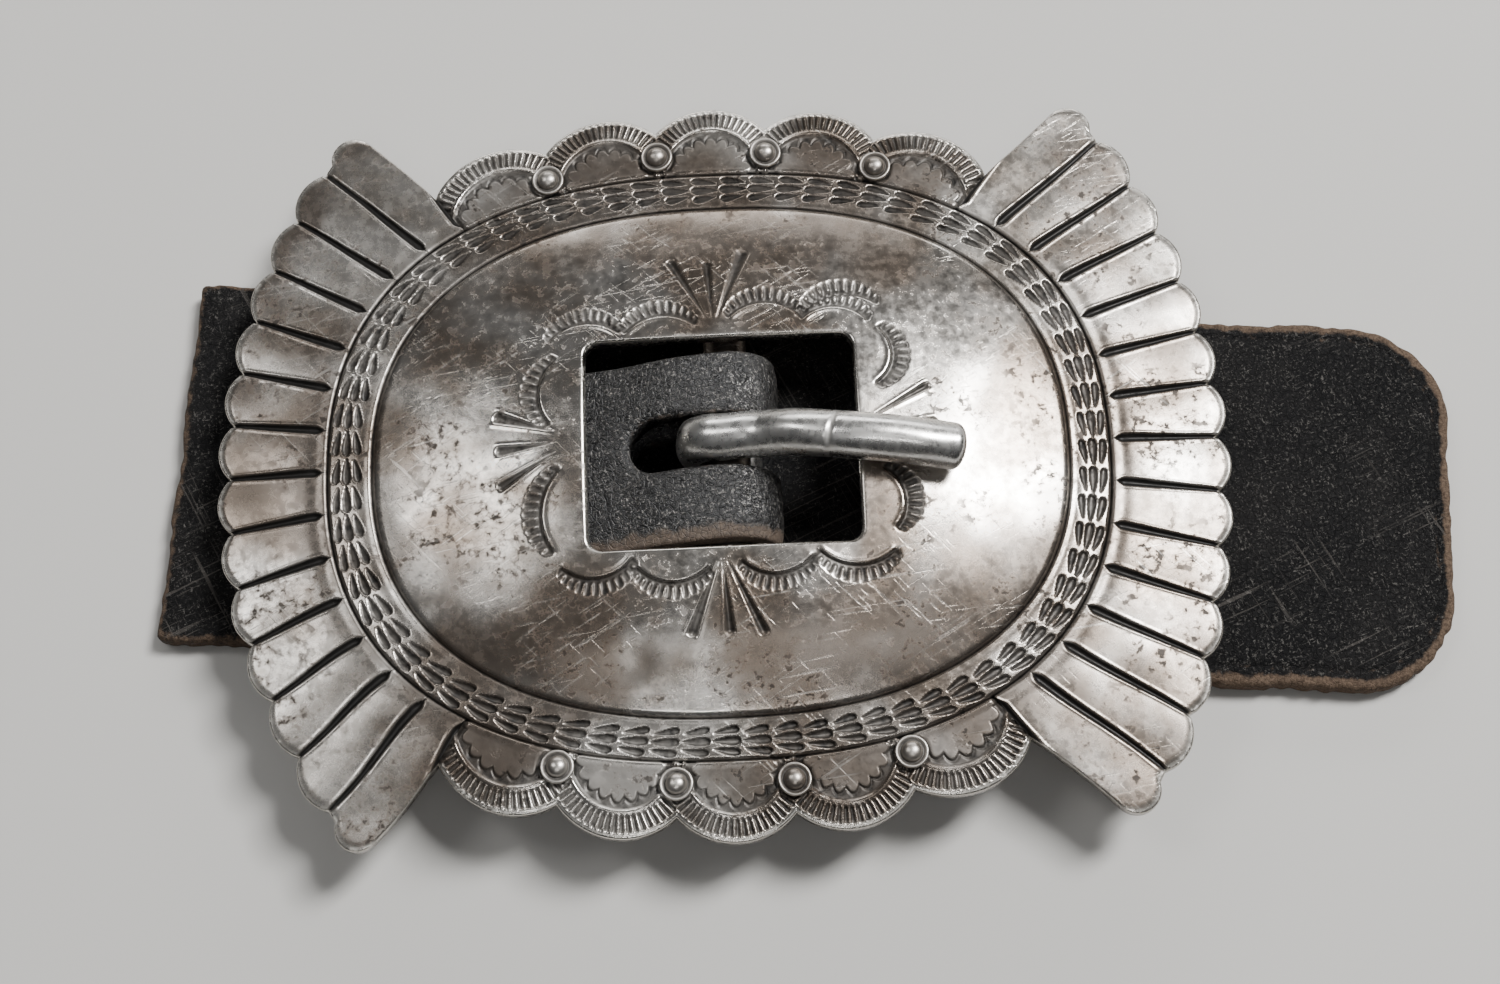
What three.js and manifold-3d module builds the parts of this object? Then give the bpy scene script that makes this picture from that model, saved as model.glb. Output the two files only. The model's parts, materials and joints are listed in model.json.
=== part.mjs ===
// Belt buckle of the concho kind: a domed silver face plate with two feather fans and two rows
// of scallops, a wire tongue hinged on a cross bar behind its window, a leather chape folded
// round that bar and riveted to a wide leather strap.
//
// Millimetres. +X runs along the belt towards its free end, +Y is up as the belt is worn and
// +Z faces away from the wearer. Z = 0 is the strap's back face, under the window's centre.
import * as THREE from 'three';
import { ParametricGeometry } from 'three/addons/geometries/ParametricGeometry.js';
import { mergeVertices } from 'three/addons/utils/BufferGeometryUtils.js';
import Module from 'manifold-3d';

const wasm = await Module();
wasm.setup();

// ---- Driving dimensions ----
const gap = 0.3; // left between pieces that lie against each other
const degree = Math.PI / 180;

const strapThickness = 2.8;
const strapHalfWidth = 17.3;
const strapCutEnd = -50;
const strapTipEnd = 65.7;
const strapTipRadius = 9.2;
const strapSkew = -5 * degree; // the strap lies a little askew behind the plate

const barRadius = 2;
const barHalfLength = 17;
const barX = 0.5;

const chapeThickness = 2.4;
const chapeHalfWidth = 8.6;
const chapeBarGap = 0.2;
const chapeLayerGap = 0.15;
const chapeLowerEnd = -26;
const chapeUpperEnd = -25;
const slotHalfWidth = 2.85;
const slotEnd = -8.2;

const plateThickness = 1.1;
const windowHalfX = 11.8;
const windowHalfY = 9.3;
const windowCorner = 1.3;
const domeEdge = { a: 30.7, b: 23.7, power: 2.35 };
const bandEdge = { a: 34.9, b: 27.4, power: 2.4 };
const domeEdgeZ = 9.3; // top face at the dome's edge
const domeRise = 3.3;
const domePower = 2.6;
const bandDrop = 0.4; // from the dome's edge to the band's outer edge
const rimSlope = 0.08; // fall of the fans and scallops per millimetre outwards

const feathers = 14; // in each fan
const featherPitch = 6.6 * degree; // between notches, seen from the plate's centre
const groovePitch = 6.47 * degree; // between the grooves' inner ends
const fanNotches = { a: 43.7, b: 51.5, power: 2 };
const featherBulge = 1.2;
const cornerFeather = { x: 33.2, y: 31.1, radius: 2.05, start: -15 * degree, end: 135.5 * degree };
const fanEnd = { x: 25.3, y: 26.4 }; // the notch between a fan and the scallops
const scallops = 5; // in each row
const scallopNotches = { a: 46.7, b: 32.1 };
const scallopBulge = 2.35;

const raindropRadius = 1.1;
const raindropHeight = 0.8;
const raindropPlaces = [[-15, 27.3], [-5, 29.2], [5, 29.2], [15, 27.3]];

const tongueRadius = 2.05;
const tongueLoopWall = 1.6;
const tongueLoopHalfWidth = 1.9;
const tongueLoopGap = 0.2;
const tongueLean = -7 * degree; // seen from the front, clockwise from the belt's line
const tongueY = 0.6; // where it leaves the bar

const rivetX = -19;
const rivetY = 4.6;
const rivetShank = 1.5;
const rivetHead = 3.1;
const rivetHeadHeight = 0.8;
const rivetClosedHead = 2.3;
const burrRadius = 3;
const burrThickness = 0.6;

// ---- Heights that follow from them ----
const chapeBottom = strapThickness + gap;
const foldInner = barRadius + chapeBarGap;
const foldOuter = foldInner + chapeThickness;
const barZ = chapeBottom + foldOuter;
const chapeTailTop = chapeBottom + 2 * chapeThickness + chapeLayerGap;

// ---- Materials ----
const silver = () => new THREE.MeshStandardMaterial({ color: '#a49d95', roughness: 0.35, metalness: 1 });
const brightSilver = () => new THREE.MeshStandardMaterial({ color: '#bdb8b1', roughness: 0.25, metalness: 1 });
const leather = () => new THREE.MeshStandardMaterial({ color: '#262626', roughness: 0.6, metalness: 0 });
const copper = () => new THREE.MeshStandardMaterial({ color: '#8a5a3c', roughness: 0.45, metalness: 1 });

const buckle = new THREE.Group();

function addMesh(name, geometry, material) {
  const mesh = new THREE.Mesh(geometry, material);
  mesh.name = name;
  buckle.add(mesh);
  return mesh;
}

// ---- Solids that can be joined and cut ----
function positionsOnly(geometry) {
  geometry.deleteAttribute('normal');
  geometry.deleteAttribute('uv');
  return mergeVertices(geometry, 1e-4);
}

function toManifold(geometry) {
  const merged = positionsOnly(geometry);
  return new wasm.Manifold(new wasm.Mesh({
    numProp: 3,
    vertProperties: new Float32Array(merged.attributes.position.array),
    triVerts: new Uint32Array(merged.index.array),
  }));
}

function toGeometry(manifold) {
  const mesh = manifold.getMesh();
  const geometry = new THREE.BufferGeometry();
  geometry.setAttribute('position', new THREE.BufferAttribute(mesh.vertProperties, 3));
  geometry.setIndex(new THREE.BufferAttribute(mesh.triVerts, 1));
  geometry.computeVertexNormals();
  return geometry;
}

// An upright cylinder between two heights.
function post(radius, x, y, low, high, sides = 24) {
  const geometry = new THREE.CylinderGeometry(radius, radius, high - low, sides);
  geometry.rotateX(Math.PI / 2);
  return geometry.translate(x, y, (low + high) / 2);
}

// ---- Face plate ----
// Distance from the centre to |x/a|^p + |y/b|^p = 1 along an angle.
function reach(edge, angle) {
  const alongX = Math.abs(Math.cos(angle)) / edge.a;
  const alongY = Math.abs(Math.sin(angle)) / edge.b;
  return (alongX ** edge.power + alongY ** edge.power) ** (-1 / edge.power);
}

function onEdge(edge, angle) {
  const distance = reach(edge, angle);
  return new THREE.Vector2(distance * Math.cos(angle), distance * Math.sin(angle));
}

// The window's edge along an angle: a rectangle whose corners are quarter circles.
function onWindow(angle) {
  const alongX = Math.abs(Math.cos(angle));
  const alongY = Math.abs(Math.sin(angle));
  const centreX = windowHalfX - windowCorner;
  const centreY = windowHalfY - windowCorner;
  let distance = Math.min(windowHalfX / alongX, windowHalfY / alongY);
  if (distance * alongX > centreX && distance * alongY > centreY) {
    const middle = centreX * alongX + centreY * alongY;
    distance = middle + Math.sqrt(middle ** 2 - centreX ** 2 - centreY ** 2 + windowCorner ** 2);
  }
  return new THREE.Vector2(distance * Math.cos(angle), distance * Math.sin(angle));
}

function domeZ(point) {
  const share = point.length() / reach(domeEdge, point.angle());
  return domeEdgeZ + domeRise * (1 - Math.min(share, 1) ** domePower);
}

// Points along a circular arc that bulges outwards from the chord between two notches. The
// last notch is left to the next lobe.
function bulge(from, to, height, steps) {
  const half = from.distanceTo(to) / 2;
  const radius = (half ** 2 + height ** 2) / (2 * height);
  const spread = Math.asin(Math.min(half / radius, 1));
  const middle = from.clone().add(to).divideScalar(2);
  const along = to.clone().sub(from).normalize();
  const outward = new THREE.Vector2(along.y, -along.x);
  return Array.from({ length: steps }, (_, i) => {
    const turn = spread * (2 * i / steps - 1);
    return middle.clone()
      .addScaledVector(along, radius * Math.sin(turn))
      .addScaledVector(outward, height - radius * (1 - Math.cos(turn)));
  });
}

// The long feather at a fan's end: its side notch, a round tip and a straight edge.
function cornerLobe(notch, steps) {
  const { x, y, radius, start, end } = cornerFeather;
  const tip = Array.from({ length: steps }, (_, i) => {
    const turn = start + (end - start) * i / (steps - 1);
    return new THREE.Vector2(x + radius * Math.cos(turn), y + radius * Math.sin(turn));
  });
  return [notch, ...tip];
}

// One entry for each point round the outline: where it is, and the angle at which the groove
// or the ground behind it meets the band.
function halfOutline() {
  const outline = [];
  const addLobe = (points, from, to) => points.forEach((point, i) => {
    outline.push({ point, angle: from + (to - from) * i / points.length });
  });
  const fanAngle = (i) => (i - feathers / 2) * groovePitch;
  const fanNotch = (i) => onEdge(fanNotches, (i - feathers / 2) * featherPitch);
  const end = new THREE.Vector2(fanEnd.x, fanEnd.y);

  const lowerTip = cornerLobe(fanNotch(feathers - 1), 6).map((p) => new THREE.Vector2(p.x, -p.y));
  const lowerLobe = [new THREE.Vector2(end.x, -end.y), ...lowerTip.slice(1).reverse()];
  addLobe(lowerLobe, fanAngle(0), fanAngle(1));
  for (let i = 1; i < feathers - 1; i += 1) {
    addLobe(bulge(fanNotch(i), fanNotch(i + 1), featherBulge, 4), fanAngle(i), fanAngle(i + 1));
  }
  addLobe(cornerLobe(fanNotch(feathers - 1), 6), fanAngle(feathers - 1), fanAngle(feathers));

  const scallopNotch = (i) => {
    if (i === 0 || i === scallops) return new THREE.Vector2(i === 0 ? end.x : -end.x, end.y);
    const x = end.x * (1 - 2 * i / scallops);
    return new THREE.Vector2(x, scallopNotches.b * Math.sqrt(1 - (x / scallopNotches.a) ** 2));
  };
  const scallopAngle = (i) => {
    if (i === 0) return fanAngle(feathers);
    return i === scallops ? Math.PI - fanAngle(feathers) : scallopNotch(i).angle();
  };
  for (let i = 0; i < scallops; i += 1) {
    const arc = bulge(scallopNotch(i), scallopNotch(i + 1), scallopBulge, 7);
    addLobe(arc, scallopAngle(i), scallopAngle(i + 1));
  }
  return outline;
}

function facePlate() {
  const half = halfOutline();
  const turned = half.map(({ point, angle }) => ({
    point: point.clone().negate(),
    angle: angle + Math.PI,
  }));
  const outline = [...half, ...turned];
  const bandZ = domeEdgeZ - bandDrop;

  // Top face from the window's edge out to the outline, then the back face the other way.
  const stations = 5;
  const place = ({ point, angle }, station) => {
    const inner = onWindow(angle);
    const edge = onEdge(domeEdge, angle);
    if (station < 3) {
      const onDome = inner.lerp(edge, station / 2);
      return [onDome, domeZ(onDome)];
    }
    const band = onEdge(bandEdge, angle);
    return station === 3 ? [band, bandZ] : [point, bandZ - rimSlope * point.distanceTo(band)];
  };
  // Taken clockwise, so that the faces point outwards.
  const surface = (u, v, target) => {
    const row = Math.round(v * 2 * stations) % (2 * stations);
    const isTop = row < stations;
    const sample = outline[Math.round((1 - u) * outline.length) % outline.length];
    const [at, z] = place(sample, isTop ? row : 2 * stations - 1 - row);
    target.set(at.x, at.y, isTop ? z : z - plateThickness);
  };
  const geometry = new ParametricGeometry(surface, outline.length, 2 * stations);
  return positionsOnly(geometry);
}

const plateGeometry = facePlate();
plateGeometry.computeVertexNormals();
addMesh('face_plate', plateGeometry, silver());

// ---- Raindrops: low silver domes at the joints of the scallops ----
function raindropGeometry() {
  const profile = [new THREE.Vector2(0, 0)];
  for (let i = 0; i <= 5; i += 1) {
    const turn = i * Math.PI / 10;
    profile.push(new THREE.Vector2(raindropRadius * Math.cos(turn), raindropHeight * Math.sin(turn)));
  }
  profile[profile.length - 1].x = 0;
  const geometry = new THREE.LatheGeometry(profile, 16);
  return positionsOnly(geometry.rotateX(Math.PI / 2));
}

function raindropZ(x, y) {
  const point = new THREE.Vector2(x, y);
  const beyond = point.length() - reach(bandEdge, point.angle());
  return domeEdgeZ - bandDrop - rimSlope * (beyond - raindropRadius) + gap;
}

for (const [row, side] of [['top', 1], ['bottom', -1]]) {
  raindropPlaces.forEach(([x, y], i) => {
    const drop = raindropGeometry();
    drop.computeVertexNormals();
    const mesh = addMesh(`raindrop_${row}_${i + 1}`, drop, brightSilver());
    mesh.position.set(x, side * y, raindropZ(x, y));
  });
}

// ---- Cross bar behind the window ----
const barGeometry = new THREE.CylinderGeometry(barRadius, barRadius, 2 * barHalfLength, 24);
const bar = addMesh('cross_bar', barGeometry, silver());
bar.position.set(barX, 0, barZ);

// ---- Tongue: a flat loop round the bar that runs out into an arched round wire ----
function tongueGeometry() {
  const loopInner = barRadius + tongueLoopGap;
  const loopOuter = loopInner + tongueLoopWall;
  const loopProfile = [
    new THREE.Vector2(loopInner, -tongueLoopHalfWidth),
    new THREE.Vector2(loopOuter, -tongueLoopHalfWidth),
    new THREE.Vector2(loopOuter, tongueLoopHalfWidth),
    new THREE.Vector2(loopInner, tongueLoopHalfWidth),
    new THREE.Vector2(loopInner, -tongueLoopHalfWidth),
  ];
  const loop = toManifold(new THREE.LatheGeometry(loopProfile, 28));

  // The wire's centre line from the loop's top to its tip, along and above the bar.
  const route = [[0.6, 3.0], [3, 4.9], [6.5, 6.3], [11.5, 7.1], [16, 6.9], [19.4, 6.15]];
  const path = new THREE.CatmullRomCurve3(route.map(([along, up]) => new THREE.Vector3(along, 0, up)));
  const section = new THREE.Shape().absarc(0, 0, tongueRadius, 0, 2 * Math.PI);
  const wire = new THREE.ExtrudeGeometry(section, {
    steps: 14,
    curveSegments: 9,
    bevelEnabled: false,
    extrudePath: path,
  });
  const tip = new THREE.SphereGeometry(tongueRadius, 18, 10);
  tip.scale(0.6, 1, 1);
  tip.rotateY(Math.atan2(0.75, 3.4));
  tip.translate(19.4, 0, 6.15);
  const blank = toManifold(wire).add(toManifold(tip)).rotate([0, 0, tongueLean / degree]);
  const hole = new THREE.CylinderGeometry(loopInner, loopInner, 12, 28);
  return toGeometry(blank.add(loop).subtract(toManifold(hole)));
}

const tongue = addMesh('tongue', tongueGeometry(), brightSilver());
tongue.position.set(barX, tongueY, barZ);

// ---- Chape: a strip of leather folded round the bar ----
function chapeGeometry() {
  const lowerZ = chapeBottom + chapeThickness / 2;
  const upperZ = lowerZ + chapeThickness + chapeLayerGap;
  const foldRadius = foldInner + chapeThickness / 2;
  const at = (x, z) => new THREE.Vector3(x, 0, z);
  const fold = new THREE.CurvePath();
  fold.add(new THREE.LineCurve3(at(chapeLowerEnd, lowerZ), at(barX, lowerZ)));
  const turns = 10;
  const round = (i) => {
    const turn = Math.PI * (i / turns - 0.5);
    return at(barX + foldRadius * Math.cos(turn), barZ + foldRadius * Math.sin(turn));
  };
  for (let i = 0; i < turns; i += 1) fold.add(new THREE.LineCurve3(round(i), round(i + 1)));
  fold.add(new THREE.CubicBezierCurve3(
    at(barX, barZ + foldRadius),
    at(barX - 6, barZ + foldRadius),
    at(barX - 9.5, upperZ),
    at(barX - 16, upperZ),
  ));
  fold.add(new THREE.LineCurve3(at(barX - 16, upperZ), at(chapeUpperEnd, upperZ)));

  const halfThickness = chapeThickness / 2;
  const section = new THREE.Shape();
  section.moveTo(-halfThickness, -chapeHalfWidth);
  section.lineTo(halfThickness, -chapeHalfWidth);
  section.lineTo(halfThickness, chapeHalfWidth);
  section.lineTo(-halfThickness, chapeHalfWidth);
  const strip = new THREE.ExtrudeGeometry(section, { steps: 64, bevelEnabled: false, extrudePath: fold });

  const slotShape = new THREE.Shape();
  slotShape.moveTo(barX + foldOuter + 1, -slotHalfWidth);
  slotShape.lineTo(barX + foldOuter + 1, slotHalfWidth);
  slotShape.absarc(slotEnd + slotHalfWidth, 0, slotHalfWidth, Math.PI / 2, 3 * Math.PI / 2);
  const slot = new THREE.ExtrudeGeometry(slotShape, { depth: 20, curveSegments: 8, bevelEnabled: false });
  slot.translate(0, tongueY, 0);

  let solid = toManifold(strip).subtract(toManifold(slot));
  for (const y of [-rivetY, rivetY]) {
    solid = solid.subtract(toManifold(post(rivetShank + gap, rivetX, y, 0, 20, 16)));
  }
  return toGeometry(solid);
}

addMesh('chape', chapeGeometry(), leather());

// ---- Belt strap behind the plate ----
function strapGeometry() {
  const outline = new THREE.Shape();
  const corner = strapTipEnd - strapTipRadius;
  const side = strapHalfWidth - strapTipRadius;
  outline.moveTo(strapCutEnd, -strapHalfWidth);
  outline.lineTo(corner, -strapHalfWidth);
  outline.absarc(corner, -side, strapTipRadius, -Math.PI / 2, 0);
  outline.lineTo(strapTipEnd, side);
  outline.absarc(corner, side, strapTipRadius, 0, Math.PI / 2);
  outline.lineTo(strapCutEnd, strapHalfWidth);
  const strip = new THREE.ExtrudeGeometry(outline, {
    depth: strapThickness,
    curveSegments: 10,
    bevelEnabled: false,
  });
  strip.rotateZ(strapSkew);

  let solid = toManifold(strip);
  for (const y of [-rivetY, rivetY]) {
    solid = solid
      .subtract(toManifold(post(rivetShank + gap, rivetX, y, -1, 5, 16)))
      .subtract(toManifold(post(rivetHead + gap, rivetX, y, -1, rivetHeadHeight + gap, 20)));
  }
  return toGeometry(solid);
}

addMesh('belt_strap', strapGeometry(), leather());

// ---- Rivets with flat heads let into the strap's back, and their burrs ----
const burrBottom = chapeTailTop + 0.25;
const closedHeadBottom = burrBottom + burrThickness + 0.25;

function rivetGeometry() {
  const profile = [
    [0, 0], [rivetHead, 0], [rivetHead, rivetHeadHeight], [rivetShank, rivetHeadHeight],
    [rivetShank, closedHeadBottom], [rivetClosedHead, closedHeadBottom],
    [rivetClosedHead - 0.7, closedHeadBottom + 0.45], [0, closedHeadBottom + 0.55],
  ].map(([radius, height]) => new THREE.Vector2(radius, height));
  const geometry = new THREE.LatheGeometry(profile, 20);
  return positionsOnly(geometry.rotateX(Math.PI / 2));
}

function burrGeometry() {
  const hole = rivetShank + gap;
  const profile = [
    [hole, 0], [burrRadius, 0], [burrRadius, burrThickness], [hole, burrThickness], [hole, 0],
  ].map(([radius, height]) => new THREE.Vector2(radius, height));
  const geometry = new THREE.LatheGeometry(profile, 20);
  return positionsOnly(geometry.rotateX(Math.PI / 2));
}

for (const [place, y] of [['upper', rivetY], ['lower', -rivetY]]) {
  const rivet = addMesh(`rivet_${place}`, rivetGeometry(), copper());
  rivet.geometry.computeVertexNormals();
  rivet.position.set(rivetX, y, 0);
  const burr = addMesh(`burr_${place}`, burrGeometry(), copper());
  burr.geometry.computeVertexNormals();
  burr.position.set(rivetX, y, burrBottom);
}

export default buckle;
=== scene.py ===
# A hand-made silver concho belt buckle: a stamped and domed face plate, its wire tongue on a cross
# bar, and the black leather that carries them. Metres, in the part's own frame: +X runs along the
# belt to its free end, +Y is up as worn, +Z faces out, and Z = 0 is the strap's back.
import json
import math

import bmesh
import bpy
import numpy as np
from mathutils import Matrix, Vector


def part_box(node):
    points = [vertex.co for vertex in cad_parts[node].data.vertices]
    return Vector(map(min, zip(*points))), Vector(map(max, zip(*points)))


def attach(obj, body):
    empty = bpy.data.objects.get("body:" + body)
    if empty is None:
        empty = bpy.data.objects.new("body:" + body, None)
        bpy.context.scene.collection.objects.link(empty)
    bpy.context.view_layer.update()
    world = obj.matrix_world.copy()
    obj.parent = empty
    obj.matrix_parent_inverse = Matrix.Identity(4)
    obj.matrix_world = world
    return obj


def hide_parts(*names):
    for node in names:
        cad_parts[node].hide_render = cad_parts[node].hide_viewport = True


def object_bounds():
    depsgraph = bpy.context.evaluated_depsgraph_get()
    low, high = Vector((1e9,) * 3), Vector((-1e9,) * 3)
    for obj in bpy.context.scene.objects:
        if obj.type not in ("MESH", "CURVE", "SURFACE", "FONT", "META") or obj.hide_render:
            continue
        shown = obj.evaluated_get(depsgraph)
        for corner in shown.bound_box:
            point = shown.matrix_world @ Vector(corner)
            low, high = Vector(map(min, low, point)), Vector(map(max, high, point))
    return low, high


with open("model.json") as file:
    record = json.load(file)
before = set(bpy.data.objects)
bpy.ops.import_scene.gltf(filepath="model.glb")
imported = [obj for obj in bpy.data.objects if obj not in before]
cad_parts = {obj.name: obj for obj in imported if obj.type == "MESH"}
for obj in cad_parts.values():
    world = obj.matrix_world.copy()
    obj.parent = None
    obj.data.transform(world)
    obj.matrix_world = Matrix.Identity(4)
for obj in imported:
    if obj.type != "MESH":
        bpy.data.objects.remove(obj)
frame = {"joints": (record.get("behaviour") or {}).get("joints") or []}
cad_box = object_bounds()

MM = 0.001  # the sections below work in millimetres and turn them to metres as a mesh is made

# ---- Camera ----
# Above the buckle and a little towards its lower edge, as a viewer leans over a table. The camera
# is turned slightly, so that the belt's line rises to the right.
camera_place = Vector((2.6, -68.7, 204.7)) * MM
camera_elevation = math.radians(71.6)
camera_azimuth = math.radians(-0.3)
camera_roll = math.radians(-2.8)

forward = Vector((math.sin(camera_azimuth) * math.cos(camera_elevation),
                  math.cos(camera_azimuth) * math.cos(camera_elevation),
                  -math.sin(camera_elevation)))
level = Vector((math.cos(camera_azimuth), -math.sin(camera_azimuth), 0.0))
upright = level.cross(forward)
sideways = level * math.cos(camera_roll) + upright * math.sin(camera_roll)
above = upright * math.cos(camera_roll) - level * math.sin(camera_roll)

lens = bpy.data.cameras.new("camera")
lens.lens = 56.5
lens.sensor_width = 36.0
lens.clip_start = 0.01
camera = bpy.data.objects.new("camera", lens)
camera.matrix_world = Matrix((
    (sideways.x, above.x, -forward.x, camera_place.x),
    (sideways.y, above.y, -forward.y, camera_place.y),
    (sideways.z, above.z, -forward.z, camera_place.z),
    (0.0, 0.0, 0.0, 1.0),
))
bpy.context.scene.collection.objects.link(camera)
bpy.context.scene.camera = camera


# ---- Floor and light ----
# A pale matt table top. The dome's right flank mirrors the key soft box and its left a weaker
# one. A wide one stands low behind, a weak one and a narrow strip in front light the dome's
# lower flank, and the room darkens from its ceiling down.
def linear(hex_colour):
    """An sRGB hex colour as the linear red, green, blue and alpha that a shader takes."""
    parts = [int(hex_colour[i:i + 2], 16) / 255 for i in (1, 3, 5)]
    return [p / 12.92 if p <= 0.04045 else ((p + 0.055) / 1.055) ** 2.4 for p in parts] + [1.0]


def add_node(tree, kind, inputs=None, output=0, **settings):
    """Adds one shader node of a kind, named without its "ShaderNode". Settings are its own
    properties. Each input, by its name or number, is set, or linked where its value is another
    node's output, and a hex colour is turned linear. Returns the output that is asked for, or
    the node itself where it has none."""
    made = tree.nodes.new("ShaderNode" + kind)
    for name, value in settings.items():
        setattr(made, name, value)
    for name, value in (inputs or {}).items():
        if isinstance(value, bpy.types.NodeSocket):
            tree.links.new(value, made.inputs[name])
        else:
            made.inputs[name].default_value = linear(value) if isinstance(value, str) else value
    return made.outputs[output] if made.outputs else made


def new_material(name):
    """An empty node material with its output, as (material, tree, output node)."""
    material = bpy.data.materials.new(name)
    material.use_nodes = True
    material.node_tree.nodes.clear()
    output = add_node(material.node_tree, "OutputMaterial")
    return material, material.node_tree, output


floor_half = 0.6
floor_z = cad_box[0].z - 0.02 * MM
floor_mesh = bpy.data.meshes.new("table_top")
floor_mesh.from_pydata(
    [(-floor_half, -floor_half, floor_z), (floor_half, -floor_half, floor_z),
     (floor_half, floor_half, floor_z), (-floor_half, floor_half, floor_z)],
    [], [(0, 1, 2, 3)])
table_top = bpy.data.objects.new("table_top", floor_mesh)
bpy.context.scene.collection.objects.link(table_top)
floor_material, floor_tree, floor_output = new_material("matt_pale_laminate")
floor_shader = add_node(floor_tree, "BsdfPrincipled", {"Base Color": "#c6c4c0", "Roughness": 0.8})
floor_tree.links.new(floor_shader, floor_output.inputs["Surface"])
floor_mesh.materials.append(floor_material)


def add_soft_box(name, direction, distance, width, height, watts):
    """A rectangular soft box at a distance along a direction from the buckle, facing it."""
    light = bpy.data.lights.new(name, "AREA")
    light.shape = "RECTANGLE"
    light.size = width
    light.size_y = height
    light.energy = watts
    lamp = bpy.data.objects.new(name, light)
    towards = Vector(direction).normalized()
    lamp.location = towards * distance
    lamp.rotation_euler = towards.to_track_quat("Z", "Y").to_euler()
    bpy.context.scene.collection.objects.link(lamp)


add_soft_box("key_soft_box", (0.46, 0.28, 0.84), 0.9, 0.20, 0.31, 12.0)
add_soft_box("fill_soft_box", (-0.47, 0.22, 0.85), 0.9, 0.20, 0.28, 1.15)
add_soft_box("back_soft_box", (0.05, 0.93, 0.36), 1.0, 0.9, 0.22, 3.2)
add_soft_box("front_soft_box", (0.05, -0.25, 0.97), 0.9, 0.5, 0.12, 0.3)
add_soft_box("low_front_strip", (0.02, -0.50, 0.86), 0.9, 0.30, 0.04, 0.5)

room = bpy.data.worlds.new("dim_studio")
room.use_nodes = True
room_tree = room.node_tree
sky_way = add_node(room_tree, "TexCoord", output="Generated")
sky_height = add_node(room_tree, "SeparateXYZ", {"Vector": sky_way}, "Z")
sky_strength = add_node(room_tree, "MapRange", {
    "Value": sky_height, "From Min": 0.15, "From Max": 0.85, "To Min": 0.03, "To Max": 0.135},
    interpolation_type="SMOOTHSTEP")
room_shader = room_tree.nodes["Background"]
room_shader.inputs["Color"].default_value = linear("#e9ebee")
room_tree.links.new(sky_strength, room_shader.inputs["Strength"])
bpy.context.scene.world = room


# ---- Face plate ----
# One sheet of coin silver about 1.1 mm thick, domed over a form, with its outline filed to
# feathers and scallops and its ornament struck from the front with steel stamps and chisels.
# It is made here as rings that meet at the incised lines: dome, rope band, fans and scallops.
plate_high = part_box("face_plate")[1]
plate_thickness = 1.1
window_half_x, window_half_y, window_corner = 11.8, 9.3, 1.3
dome_edge = (30.7, 23.7, 2.35)  # half length, half height and power of the oval
band_edge = (34.5, 27.3, 2.4)
dome_rise, dome_power = 3.3, 2.6
dome_edge_z = plate_high.z / MM - dome_rise * (1 - (window_half_x / dome_edge[0]) ** dome_power)
band_fall = 0.4
band_edge_z = dome_edge_z - band_fall
rim_slope = 0.08
inner_line_depth, outer_line_depth, line_width = 0.24, 0.26, 0.16
back_rows = 5  # rows of points on the back of each piece of the plate


def ease(low, high, value):
    """0 below low, 1 above high, and a smooth S curve between them."""
    share = np.clip((value - low) / (high - low), 0, 1)
    return share * share * (3 - 2 * share)


def hump(distance, width):
    """A bell curve: 1 at no distance, about a third one width away."""
    return np.exp(-(distance / width) ** 2)


def unevenness(x, y, wavelength, seed):
    """Smooth unevenness between about -1 and 1: seven sine waves with seeded directions, phases
    and lengths near the one given, added up."""
    draw = np.random.default_rng(seed)
    total = np.zeros_like(x)
    for _ in range(7):
        turn, phase = draw.uniform(0, 2 * np.pi, 2)
        pace = 2 * np.pi / (wavelength * draw.uniform(0.7, 1.5))
        total += np.sin((x * np.cos(turn) + y * np.sin(turn)) * pace + phase)
    return total / 4


def oval(edge, angle):
    """The point on |x/a|^p + |y/b|^p = 1 that lies along an angle from the centre."""
    half_x, half_y, power = edge
    inverse = (np.abs(np.cos(angle)) / half_x) ** power + (np.abs(np.sin(angle)) / half_y) ** power
    reach = inverse ** (-1 / power)
    return np.stack([reach * np.cos(angle), reach * np.sin(angle)], -1)


def window_edge(angle):
    """The point on the window's edge, a rectangle with quarter-round corners, along an angle."""
    along_x, along_y = np.abs(np.cos(angle)), np.abs(np.sin(angle))
    corner_x, corner_y = window_half_x - window_corner, window_half_y - window_corner
    flat = np.minimum(window_half_x / np.maximum(along_x, 1e-9),
                      window_half_y / np.maximum(along_y, 1e-9))
    middle = corner_x * along_x + corner_y * along_y
    under = middle ** 2 - corner_x ** 2 - corner_y ** 2 + window_corner ** 2
    rounded = middle + np.sqrt(np.maximum(under, 0))
    in_corner = (flat * along_x > corner_x) & (flat * along_y > corner_y)
    reach = np.where(in_corner, rounded, flat)
    return np.stack([reach * np.cos(angle), reach * np.sin(angle)], -1)


def dome_z(x, y):
    """Height of the plain dome: it falls with a power of the distance from its centre."""
    half_x, half_y, power = dome_edge
    share = ((np.abs(x) / half_x) ** power + (np.abs(y) / half_y) ** power) ** (1 / power)
    return dome_edge_z + dome_rise * (1 - np.minimum(share, 1) ** dome_power)


def distance_along(points):
    """The distance along a line from its first point to each of its points."""
    return np.concatenate([[0], np.cumsum(np.linalg.norm(np.diff(points, axis=0), axis=1))])


def even_angles(curve, count):
    """Angles at which the points of a closed curve are evenly spaced along its length."""
    fine = np.linspace(0, 2 * np.pi, 20001)
    length = distance_along(curve(fine))
    return np.interp(np.arange(count) / count * length[-1], length, fine)


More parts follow.
